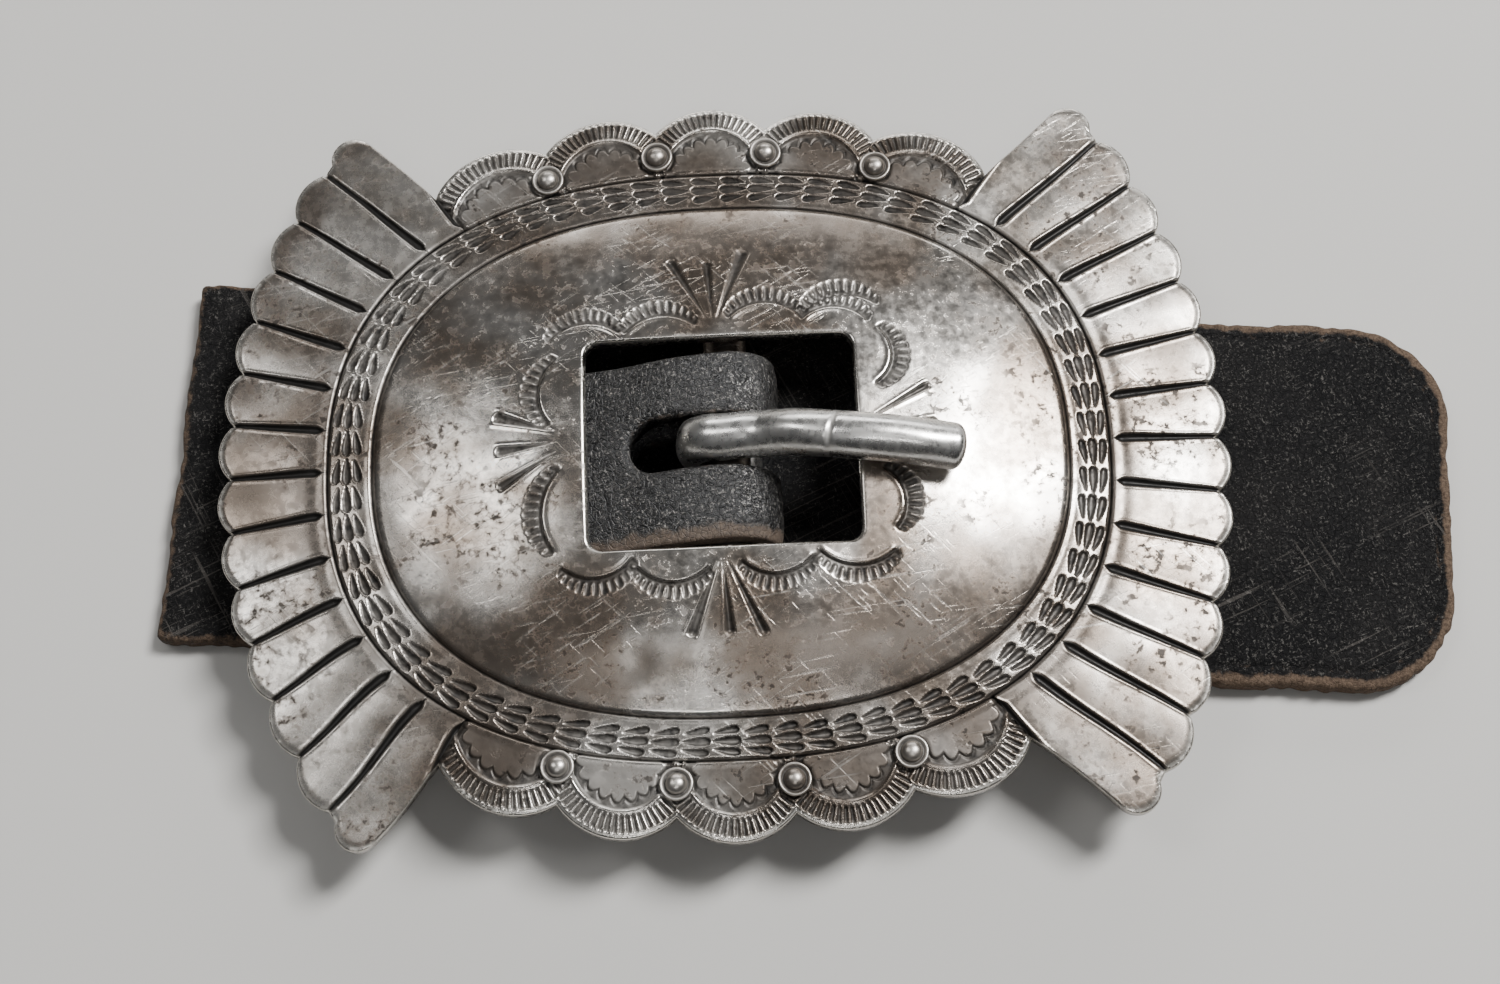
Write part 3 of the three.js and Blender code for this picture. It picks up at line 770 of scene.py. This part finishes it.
# ---- Cross bar ----
# A round silver rod soldered across the back of the window, with blackened, hammered sides and a
# fillet of solder where each end meets the plate.
bar_low, bar_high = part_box("cross_bar")
bar_radius = (bar_high.x - bar_low.x) / 2 / MM
bar_x = (bar_low.x + bar_high.x) / 2 / MM
bar_z = (bar_low.z + bar_high.z) / 2 / MM
bar_half = bar_high.y / MM
bar_along = np.concatenate([
    -bar_half + 0.6 * (1 - np.cos(np.linspace(0, np.pi / 2, 6))),
    np.linspace(-bar_half + 0.9, bar_half - 0.9, 90),
    bar_half - 0.6 * (1 - np.cos(np.linspace(np.pi / 2, 0, 6)))])
end_distance = bar_half - np.abs(bar_along)
bar_rounding = 1 - (1 - np.minimum(end_distance / 0.6, 1)) ** 2
bar_profile = (bar_radius - 0.02) * np.sqrt(np.clip(bar_rounding, 0, 1))
bar_sides = 48
bar_turn = np.arange(bar_sides) / bar_sides * 2 * np.pi
around = np.broadcast_to(bar_turn, (len(bar_along), bar_sides))
lengthwise = np.broadcast_to(bar_along[:, None], around.shape)
hammering = 0.02 * unevenness(lengthwise, 3 * np.cos(around), 4, 11)
hammered = bar_profile[:, None] * (1 + hammering - 0.02)
bar_points = np.stack([
    bar_x + hammered * np.cos(around), lengthwise, bar_z + hammered * np.sin(around)], -1)
cross_bar = grid_piece("cross_bar_rod", bar_points, closed_rows=False)
bar_silver = silver_material(
    "blackened_bar_silver", "#8d8882", "#6d6760", "#4d443c", 0.8, 0.38)
paint(cross_bar, bar_silver)
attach(cross_bar, "buckle")
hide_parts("cross_bar")


# ---- Tongue ----
# One length of thick round silver wire. Its root is forged flat and bent round the bar in a
# loop; the rest arches over the window's edge to a blunt filed tip that rests on the dome. The
# belt's holes keep it polished.
tongue_joint = [j for j in frame["joints"] if j["name"] == "tongue_hinge"][0]
tongue_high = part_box("tongue")[1]
tongue_radius = 2.05
tongue_lean = math.radians(-7)
tongue_y = tongue_high.y / MM - tongue_radius
arch = np.array([(1.0, 4.5), (3.0, 4.9), (6.5, 6.3), (11.5, 7.1), (16.0, 6.9), (19.4, 6.15),
                 (20.55, 5.9)])


def smooth_path(points, count):
    """Points evenly spaced on a curve that passes through the given ones: a Catmull-Rom
    spline, on which each point's tangent is parallel to its neighbours' chord."""
    ends = np.concatenate([[2 * points[0] - points[1]], points, [2 * points[-1] - points[-2]]])
    pieces = []
    step = np.linspace(0, 1, 40, endpoint=False)[:, None]
    for a, b, c, d in zip(ends[:-3], ends[1:-2], ends[2:-1], ends[3:]):
        pieces.append(0.5 * (2 * b + (c - a) * step + (2 * a - 5 * b + 4 * c - d) * step ** 2
                             + (3 * b - a - 3 * c + d) * step ** 3))
    fine = np.concatenate(pieces + [points[-1:]])
    length = distance_along(fine)
    even = np.linspace(0, length[-1], count)
    return np.stack([np.interp(even, length, fine[:, i]) for i in range(points.shape[1])], -1)


bar_centre = np.array([tongue_joint["pos_m"][0], tongue_joint["pos_m"][2]]) / MM
loop_turn = np.linspace(-225, -14, 48)
loop_reach = 3.0 + 1.25 * ease(-105, -14, loop_turn)
loop_turn = np.radians(loop_turn)
loop_line = np.stack([loop_reach * np.sin(loop_turn), loop_reach * np.cos(loop_turn)], -1)
tongue_line = smooth_path(np.concatenate([loop_line, arch]), 260)
tongue_along = distance_along(tongue_line)
tongue_heading = np.gradient(tongue_line, axis=0)
tongue_heading /= np.linalg.norm(tongue_heading, axis=1, keepdims=True)
tongue_normal = np.stack([-tongue_heading[:, 1], tongue_heading[:, 0]], -1)

# The section is a circle in the arch, and thins to a rounded strap, 1.6 mm thick, round the bar.
# The loop's hidden end, 1 mm or more in front of the axis, keeps the full wire and cuts the bar.
from_bar = np.hypot(tongue_line[:, 0], tongue_line[:, 1])
forged = np.where(tongue_line[:, 0] < 1, ease(4.25, 3.0, from_bar), 0)
to_tip = tongue_along[-1] - tongue_along
blunt = np.sqrt(np.clip(1 - (1 - np.minimum(to_tip / 1.2, 1)) ** 2.6, 0, 1))
root = np.sqrt(np.clip(1 - (1 - np.minimum(tongue_along / 0.6, 1)) ** 2, 0, 1))
half_thick = (tongue_radius * (1 - forged) + 0.8 * forged) * blunt * root
half_wide = (tongue_radius * (1 - forged) + 1.9 * forged) * blunt * root
tongue_turn = np.arange(56) / 56 * 2 * np.pi
corner = 2 + 1.4 * forged[:, None]
ring = (np.abs(np.cos(tongue_turn)) ** corner
        + np.abs(np.sin(tongue_turn)) ** corner) ** (-1 / corner)
side_part = ring * np.sin(tongue_turn) * half_wide[:, None]
nick = (hump(tongue_line[:, :1] - 9.2 - 0.3 * np.sin(tongue_turn), 0.2)
        * ease(0.3, 1, np.cos(tongue_turn)))
dressing = 0.03 * unevenness(np.broadcast_to(tongue_along[:, None], side_part.shape),
                             side_part + 2 * np.cos(tongue_turn), 4, 12)
up_part = ring * np.cos(tongue_turn) * half_thick[:, None] * (1 + dressing) - 0.17 * nick
along_x = tongue_line[:, :1] + tongue_normal[:, :1] * up_part
# Near its root the leaning wire is set over by up to 0.32 mm, to stay in the slot's middle.
root_set = 0.32 * ease(-1, 2.5, tongue_line[:, :1]) * ease(13, 4, tongue_line[:, :1])
tongue_points = np.stack([
    bar_centre[0] + along_x * math.cos(tongue_lean) - side_part * math.sin(tongue_lean),
    tongue_y + along_x * math.sin(tongue_lean) + side_part * math.cos(tongue_lean) + root_set,
    bar_centre[1] + tongue_line[:, 1:] + tongue_normal[:, 1:] * up_part], -1)
# Painted shade: the wire's underside and its flattened loop round the bar are darkened, as if
# shaded by the plate and the slot. The nick is dark in its hollow, and the top is rubbed clean.
underside = ease(0.1, -0.7, np.cos(tongue_turn)) * np.ones_like(side_part)
tongue = grid_piece("tongue_wire", tongue_points, closed_rows=False, attributes={
    "recess_and_shade": 0.35 * underside + 0.5 * forged[:, None] + 0.7 * nick,
    "worn_edge_and_highlight": 0.5 * ease(0.4, 1, np.cos(tongue_turn)) * (1 - forged[:, None])})
tongue_silver = silver_material(
    "polished_wire_silver", "#f9f8f6", "#efedea", "#a3958a", 0.08, 0.28, 0.3)
paint(tongue, tongue_silver)
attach(tongue, "tongue")
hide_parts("tongue")


# ---- Chape ----
# A strip of black bridle leather folded round the bar, with a slot for the tongue across the
# fold. Its top layer bends down to the riveted tail. The edges are cut raw and show brown.
strap_low, strap_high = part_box("belt_strap")
chape_low, chape_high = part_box("chape")
chape_thickness, chape_corner = 2.4, 0.9
chape_half_width = (chape_high.y - chape_low.y) / 2 / MM
fold_radius = 3.4
slot_half_width, slot_end_x = 2.43, -7.85
lower_z = chape_low.z / MM + chape_thickness / 2
upper_z = lower_z + chape_thickness + 0.15
tail_start_x, tail_end_x = bar_centre[0] - 16, -25
lower_points, fold_points, bend_points, tail_points = 30, 50, 60, 15
bend = np.linspace(0, 1, bend_points)[:, None]
fold_turn = np.linspace(-np.pi / 2, np.pi / 2, fold_points)
chape_path = np.concatenate([
    np.stack([np.linspace(chape_low.x / MM, bar_centre[0], lower_points)[:-1],
              np.full(lower_points - 1, lower_z)], -1),
    bar_centre + fold_radius * np.stack([np.cos(fold_turn), np.sin(fold_turn)], -1),
    ((1 - bend) ** 3 * (bar_centre + (0, fold_radius))
     + 3 * bend * (1 - bend) ** 2 * (bar_centre + (-6, fold_radius))
     + 3 * bend ** 2 * (1 - bend) * np.array([bar_centre[0] - 9.5, upper_z])
     + bend ** 3 * np.array([tail_start_x, upper_z]))[1:],
    np.stack([np.linspace(tail_start_x, tail_end_x, tail_points)[1:],
              np.full(tail_points - 1, upper_z)], -1)])
lower_run = slice(lower_points - 1)
fold_run = slice(lower_points - 1, lower_points - 1 + fold_points)
upper_run = slice(lower_points + fold_points, len(chape_path))
chape_length = distance_along(chape_path)
chape_heading = np.gradient(chape_path, axis=0)
chape_heading /= np.linalg.norm(chape_heading, axis=1, keepdims=True)


def cut_outline(low, high, half_width, corner_low, corner_high, count):
    """Points evenly spaced round a strip that is cut square at its low and high ends, whose
    corners are arcs with a radius of their own at each end. Anticlockwise from the low end."""
    arc = np.linspace(0, np.pi / 2, 24)
    runs = [[(low, half_width - corner_low)], [(low, -half_width + corner_low)]]
    for x, y, radius, start in (
            (low, -half_width, corner_low, np.pi), (high, -half_width, corner_high, 1.5 * np.pi),
            (high, half_width, corner_high, 0), (low, half_width, corner_low, np.pi / 2)):
        centre = (x + math.copysign(radius, (low + high) / 2 - x), y - math.copysign(radius, y))
        runs.append(np.stack([centre[0] + radius * np.cos(start + arc),
                              centre[1] + radius * np.sin(start + arc)], -1))
    return spread_evenly(np.concatenate(runs), count)


def cut_strip(outline, spine_low, spine_high, hole_radius, thickness, shares, edge_round, dome):
    """A strip of leather as a grid of rows by columns by 3: columns run from a spine, or from
    a slot of the given radius round it, over the top, the edge and the back. Returns that,
    and each point's distance in from the cut edge, which is 0 all through the edge."""
    spine = np.stack([np.clip(outline[:, 0], spine_low, spine_high), np.zeros(len(outline))], -1)
    outward = outline - spine
    length = np.linalg.norm(outward, axis=1, keepdims=True)
    outward /= length
    inner = spine + outward * hole_radius
    reach = length - hole_radius - edge_round
    turn = np.linspace(0, np.pi / 2, 6)
    half = thickness / 2
    rows, heights, depth = [], [], []
    for share in shares:
        rows.append(inner + outward * reach * share)
        heights.append(np.full(len(outline), half - dome * share ** 6))
        depth.append(reach[:, 0] * (1 - share) + edge_round)
    for side in (1, -1):
        for angle in (turn[1:] if side == 1 else turn[::-1]):
            rows.append(inner + outward * (reach + edge_round * np.sin(angle)))
            height = side * (half - dome - edge_round * (1 - np.cos(angle)))
            heights.append(np.full(len(outline), height))
            depth.append(np.full(len(outline), edge_round * (1 - np.sin(angle))))
    # The back takes every fourth share, from the edge in. The strap's rows stop short of its
    # spine, so its back is left open there.
    for share in shares[::-4]:
        rows.append(inner + outward * reach * share)
        heights.append(np.full(len(outline), -half + dome * share ** 6))
        depth.append(reach[:, 0] * (1 - share) + edge_round)
    rows, heights, depth = np.array(rows), np.array(heights), np.array(depth)
    return np.concatenate([rows, heights[..., None]], -1), depth


chape_slot_low = np.interp(slot_end_x, chape_path[lower_run, 0], chape_length[lower_run])
chape_slot_high = np.interp(-slot_end_x, -chape_path[upper_run, 0], chape_length[upper_run])
chape_outline = cut_outline(0, chape_length[-1], chape_half_width, chape_corner, chape_corner, 620)
chape_shares = np.concatenate([[0, 0.02, 0.05, 0.09, 0.14], np.linspace(0.2, 1, 22)])
slot_spine = (chape_slot_low + slot_half_width, chape_slot_high - slot_half_width)
chape_outline[:, 1] -= tongue_y
chape_flat, chape_depth = cut_strip(chape_outline, *slot_spine, slot_half_width, chape_thickness,
                                    chape_shares, 0.4, 0.22)
from_slot = np.hypot(chape_flat[..., 0] - np.clip(chape_flat[..., 0], *slot_spine),
                     chape_flat[..., 1]) - slot_half_width
chape_flat[..., 1] += tongue_y
around_strip, over_strip = chape_flat[..., 0], chape_flat[..., 1]
slot_round = 0.35 * (1 - np.minimum(np.maximum(from_slot, 0) / 0.5, 1)) ** 2
thick_part = chape_flat[..., 2]
thick_part = thick_part - np.sign(thick_part) * slot_round
thick_part = thick_part + 0.06 * unevenness(around_strip, over_strip, 6, 21) + 0.03 * unevenness(
    around_strip, over_strip, 1.6, 22)
edge_stray = 0.12 * unevenness(around_strip, thick_part, 7, 23)
over_strip = over_strip + edge_stray * hump(chape_depth, 1.5)
# In front of the bar the slot's sides follow the tongue's lean a little, a twentieth of the way.
beside_slot = ease(4.5, 0, np.maximum(from_slot, 0))
lean_shift = np.interp(around_strip, chape_length, chape_path[:, 0] - bar_centre[0])
over_strip = over_strip - 0.05 * np.maximum(lean_shift, 0) * beside_slot
path_x, path_z = (np.interp(around_strip, chape_length, chape_path[:, i]) for i in range(2))
head_x, head_z = (np.interp(around_strip, chape_length, chape_heading[:, i]) for i in range(2))
chape_points = np.stack([
    path_x + head_z * thick_part, over_strip, path_z - head_x * thick_part], -1)


def short_marks(tree, coordinates, degrees):
    """Short hairline marks in the grain along one direction: noise drawn out three to one.
    Real ones are finer, and these are drawn as coarse as they need to show."""
    turned = add_node(tree, "Mapping", {
        "Vector": coordinates, "Rotation": (0, 0, math.radians(degrees)),
        "Scale": (3, 1, 1)}, vector_type="TEXTURE")
    marks = add_node(tree, "TexNoise", {
        "Vector": turned, "Scale": 1 / (0.19 * MM), "Detail": 4, "Roughness": 0.7})
    return add_node(tree, "MapRange", {"Value": marks, "From Min": 0.6, "From Max": 0.66},
                    interpolation_type="SMOOTHSTEP")


def leather_material(name, black, grey, brown, crease_mm, hair_amount, shine, gloss):
    """Old black bridle leather: dyed grain worn grey in scuffs and hairline scratches, with
    fine creases, over brown flesh that shows along raw edges. Its hairline marks are painted
    near white where a painted highlight is asked for."""
    material, tree, output = new_material(name)
    place = add_node(tree, "TexCoord", output="Object")
    raw, rub_and_highlight = (add_node(tree, "Attribute", output="Fac", attribute_name=label)
                   for label in ("raw_edge", "fold_highlight_and_rub"))
    broad, fine, fibre = (
        add_node(tree, "TexNoise", {
            "Vector": place, "Scale": 1 / (size * MM), "Detail": detail, "Roughness": break_up})
        for size, detail, break_up in ((14, 4, 0.6), (1.1, 6, 0.7), (0.3, 6, 0.78)))
    grain = add_node(tree, "TexVoronoi", {
        "Vector": place, "Scale": 1 / (0.55 * MM), "Randomness": 1.0},
        feature="DISTANCE_TO_EDGE")
    folds = add_node(tree, "TexNoise", {
        "Vector": place, "Scale": 1 / (crease_mm * MM), "Detail": 5, "Roughness": 0.6,
        "Distortion": 1.2}, noise_type="RIDGED_MULTIFRACTAL")
    # The raw edge is ragged: the fine noise moves its border in and out.
    ragged = add_node(tree, "Math", {0: fine, 1: 1.1, 2: raw}, operation="MULTIPLY_ADD")
    greyness, nap, patchy, shade, bare, rough, height = (
        add_node(tree, "MapRange", {
            "Value": value, "From Min": low, "From Max": high, "To Min": start, "To Max": end},
            interpolation_type="SMOOTHSTEP")
        for value, low, high, start, end in (
            (broad, 0.38, 0.66, 0, 1), (fibre, 0.57, 0.63, 0, 1), (fine, 0.4, 0.6, 0.25, 1),
            (fibre, 0.35, 0.7, 0, 1), (ragged, 1.0, 1.3, 0, 1),
            (fine, 0.3, 0.7, gloss, gloss + 0.18), (grain, 0, 0.12, 0, 0.2)))
    hairs = short_marks(tree, place, 15)
    for marks in (short_marks(tree, place, 105), nap):
        hairs = add_node(tree, "Math", {0: hairs, 1: marks}, operation="MAXIMUM")
    hairs = add_node(tree, "Math", {0: hairs, 1: patchy}, operation="MULTIPLY")
    scuffs = add_node(tree, "Math", {
        0: scratches(tree, place, 24, 0.3, 0.6), 1: scratches(tree, place, -63, 0.34, 0.61)},
        operation="MAXIMUM")
    flesh = add_node(tree, "Mix", {0: shade, 6: brown, 7: "#3a2f28"}, 2, data_type="RGBA")
    colour = add_node(tree, "Mix", {0: greyness, 6: black, 7: grey}, 2, data_type="RGBA")
    # The second pair paints the hairline marks near white where asked: a painted highlight.
    for mask, amount, tint in (
            (hairs, hair_amount, "#9a9690"), (hairs, rub_and_highlight, "#d8d5d0"),
            (scuffs, 0.3, "#6f6a65"), (bare, 1, flesh)):
        share = add_node(tree, "Math", {0: mask, 1: amount}, operation="MULTIPLY")
        colour = add_node(tree, "Mix", {0: share, 6: colour, 7: tint}, 2, data_type="RGBA")
    rough = add_node(tree, "Math", {0: bare, 1: 0.3, 2: rough}, operation="MULTIPLY_ADD",
                     use_clamp=True)
    rough = add_node(tree, "Math", {0: rub_and_highlight, 1: -0.12, 2: rough}, operation="MULTIPLY_ADD")
    for part, depth in ((folds, -0.22), (fibre, 0.5), (scuffs, -0.25)):
        height = add_node(tree, "Math", {0: part, 1: depth, 2: height},
                          operation="MULTIPLY_ADD")
    bump = add_node(tree, "Bump", {"Height": height, "Strength": 1.0, "Distance": 0.22 * MM})
    shader = add_node(tree, "BsdfPrincipled", {
        "Base Color": colour, "Roughness": rough, "IOR": 1.45, "Specular IOR Level": shine,
        "Normal": bump})
    tree.links.new(shader, output.inputs["Surface"])
    return material


lower_side = ease(0, -4, over_strip)
chape_raw = (hump(chape_depth, 0.7 + 1.1 * lower_side) * (0.4 + 0.5 * lower_side)
             + 0.5 * hump(from_slot - 0.1, 0.35))
# Painted highlight: round the fold, where the key soft box is mirrored, the hairline marks are
# painted near white, and the leather is made glossier there.
fold_highlight_place = np.interp(math.radians(66), fold_turn, chape_length[fold_run])
chape_highlight_and_rub = (hump(around_strip - fold_highlight_place, 0.9) * ease(0, 0.8, thick_part)
                * ease(1.5, 2.5, chape_depth))
chape = grid_piece("chape_leather", chape_points, attributes={
    "raw_edge": chape_raw, "fold_highlight_and_rub": chape_highlight_and_rub})
chape_leather = leather_material(
    "worn_black_chape_leather", "#0b0b0c", "#131212", "#66584b", 4.0, 0.95, 0.75, 0.25)
paint(chape, chape_leather)
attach(chape, "belt")
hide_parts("chape")


# ---- Belt strap ----
# The belt's own end, an old black strap 2.8 mm thick that passes behind the plate. Its tip is
# cut with round corners, creased along the edge with a hot tool, and frayed brown by wear.
strap_thickness, strap_half_width = (strap_high.z - strap_low.z) / MM, 17.3
strap_skew = math.radians(-5)
strap_cut, strap_tip, tip_corner = -50.0, 65.7, 9.2
strap_outline = cut_outline(strap_cut, strap_tip, strap_half_width, 0.6, tip_corner, 1000)
strap_shares = np.concatenate([np.linspace(0, 0.8, 18), np.linspace(0.8, 1, 17)[1:]])
strap_spine = (strap_cut + 16, strap_tip - 16)
strap_flat, strap_depth = cut_strip(
    strap_outline, *strap_spine, 0.0, strap_thickness, strap_shares, 0.55, 0.25)
strap_x, strap_y, strap_rise = (strap_flat[..., i] for i in range(3))
near_tip = ease(30, 50, strap_x)
edge_wave = (unevenness(strap_x, strap_y, 9, 31) * 0.22
             + unevenness(strap_x, strap_y, 1.5, 32) * 0.12)
spine_x = np.clip(strap_x, *strap_spine)
away = np.stack([strap_x - spine_x, strap_y], -1)
away /= np.maximum(np.linalg.norm(away, axis=-1, keepdims=True), 1e-6)
pull = (np.minimum(edge_wave, 0.15) - 0.15) * hump(strap_depth, 1.2)
strap_x = strap_x + away[..., 0] * pull
strap_y = strap_y + away[..., 1] * pull
upper_side = ease(0, 0.5, strap_rise)
crease = 0.16 * hump(strap_depth - 1.75, 0.28) * upper_side * (0.25 + 0.75 * near_tip)
surface_wave = (0.07 * unevenness(strap_x, strap_y, 12, 33)
                + 0.04 * unevenness(strap_x, strap_y, 2.4, 34))
strap_rise = strap_rise + (surface_wave - 0.1) * upper_side - crease
strap_points = np.stack([
    strap_x * math.cos(strap_skew) - strap_y * math.sin(strap_skew),
    strap_x * math.sin(strap_skew) + strap_y * math.cos(strap_skew),
    strap_low.z / MM + strap_thickness / 2 + strap_rise], -1)
strap_raw = (hump(strap_depth, 1.25) * (0.7 + 0.3 * near_tip)
             + 0.3 * hump(strap_depth - 1.75, 0.3) * near_tip)
belt_strap = grid_piece("belt_strap_leather", strap_points, closed_rows=False, attributes={
    "raw_edge": np.clip(strap_raw, 0, 1)})
strap_leather = leather_material(
    "worn_black_strap_leather", "#0c0c0d", "#161515", "#6b5b4d", 5.0, 0.32, 0.12, 0.42)
paint(belt_strap, strap_leather)
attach(belt_strap, "belt")
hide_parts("belt_strap")


# ---- Rivets and burrs ----
# Two copper rivets join the chape's tail to the strap. Each has a flat head let into the
# strap's back, and a burr, a washer, over which its cut end was hammered to a low dome.
def copper_material():
    """Copper gone brown in the air, rubbed bright on its high places."""
    material, tree, output = new_material("browned_copper")
    place = add_node(tree, "TexCoord", output="Object")
    film, pitting = (
        add_node(tree, "TexNoise", {
            "Vector": place, "Scale": 1 / (size * MM), "Detail": detail, "Roughness": break_up})
        for size, detail, break_up in ((1.2, 5, 0.65), (0.5, 3, 0.6)))
    browning, rough = (
        add_node(tree, "MapRange", {
            "Value": film, "From Min": 0.35, "From Max": 0.65, "To Min": start, "To Max": end},
            interpolation_type="SMOOTHSTEP")
        for start, end in ((0, 1), (0.3, 0.5)))
    colour = add_node(tree, "Mix", {0: browning, 6: "#b87353", 7: "#6d4331"}, 2,
                      data_type="RGBA")
    bump = add_node(tree, "Bump", {"Height": pitting, "Strength": 0.4, "Distance": 0.05 * MM})
    shader = add_node(tree, "BsdfPrincipled", {
        "Base Color": colour, "Metallic": 1.0, "Roughness": rough, "Normal": bump})
    tree.links.new(shader, output.inputs["Surface"])
    return material


copper = copper_material()
closing = np.linspace(0, np.pi / 2, 10)
for place_name, seed in (("upper", 41), ("lower", 42)):
    rivet_low, rivet_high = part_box(f"rivet_{place_name}")
    burr_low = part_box(f"burr_{place_name}")[0]
    middle = (rivet_low + rivet_high) / 2 / MM
    tall, burr_z = rivet_high.z / MM, burr_low.z / MM
    head_z = tall - 0.55
    rivet_radius = np.concatenate([
        [0, 2.8, 3.05, 3.05, 2.9, 1.5, 1.5, 2.2], 2.3 * np.cos(closing) ** 0.8])
    rivet_height = np.concatenate([
        [0.02, 0.02, 0.2, 0.6, 0.78, 0.8, head_z, head_z], head_z + 0.08 + 0.47 * np.sin(closing)])
    rivet = lathe(f"rivet_{place_name}_hammered", rivet_radius, rivet_height,
                  (middle.x, middle.y, 0), 48, 0.05, seed)
    burr_loop = np.array([(1.8, 0.04), (1.84, 0), (2.95, 0), (3.0, 0.08), (3.0, 0.5), (2.92, 0.6),
                          (1.86, 0.6), (1.8, 0.56), (1.8, 0.04)])
    burr = lathe(f"burr_{place_name}_washer", burr_loop[:, 0], burr_loop[:, 1],
                 (middle.x, middle.y, burr_z), 48, 0.01, seed)
    for piece, node in ((rivet, f"rivet_{place_name}"), (burr, f"burr_{place_name}")):
        paint(piece, copper)
        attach(piece, "belt")
        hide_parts(node)
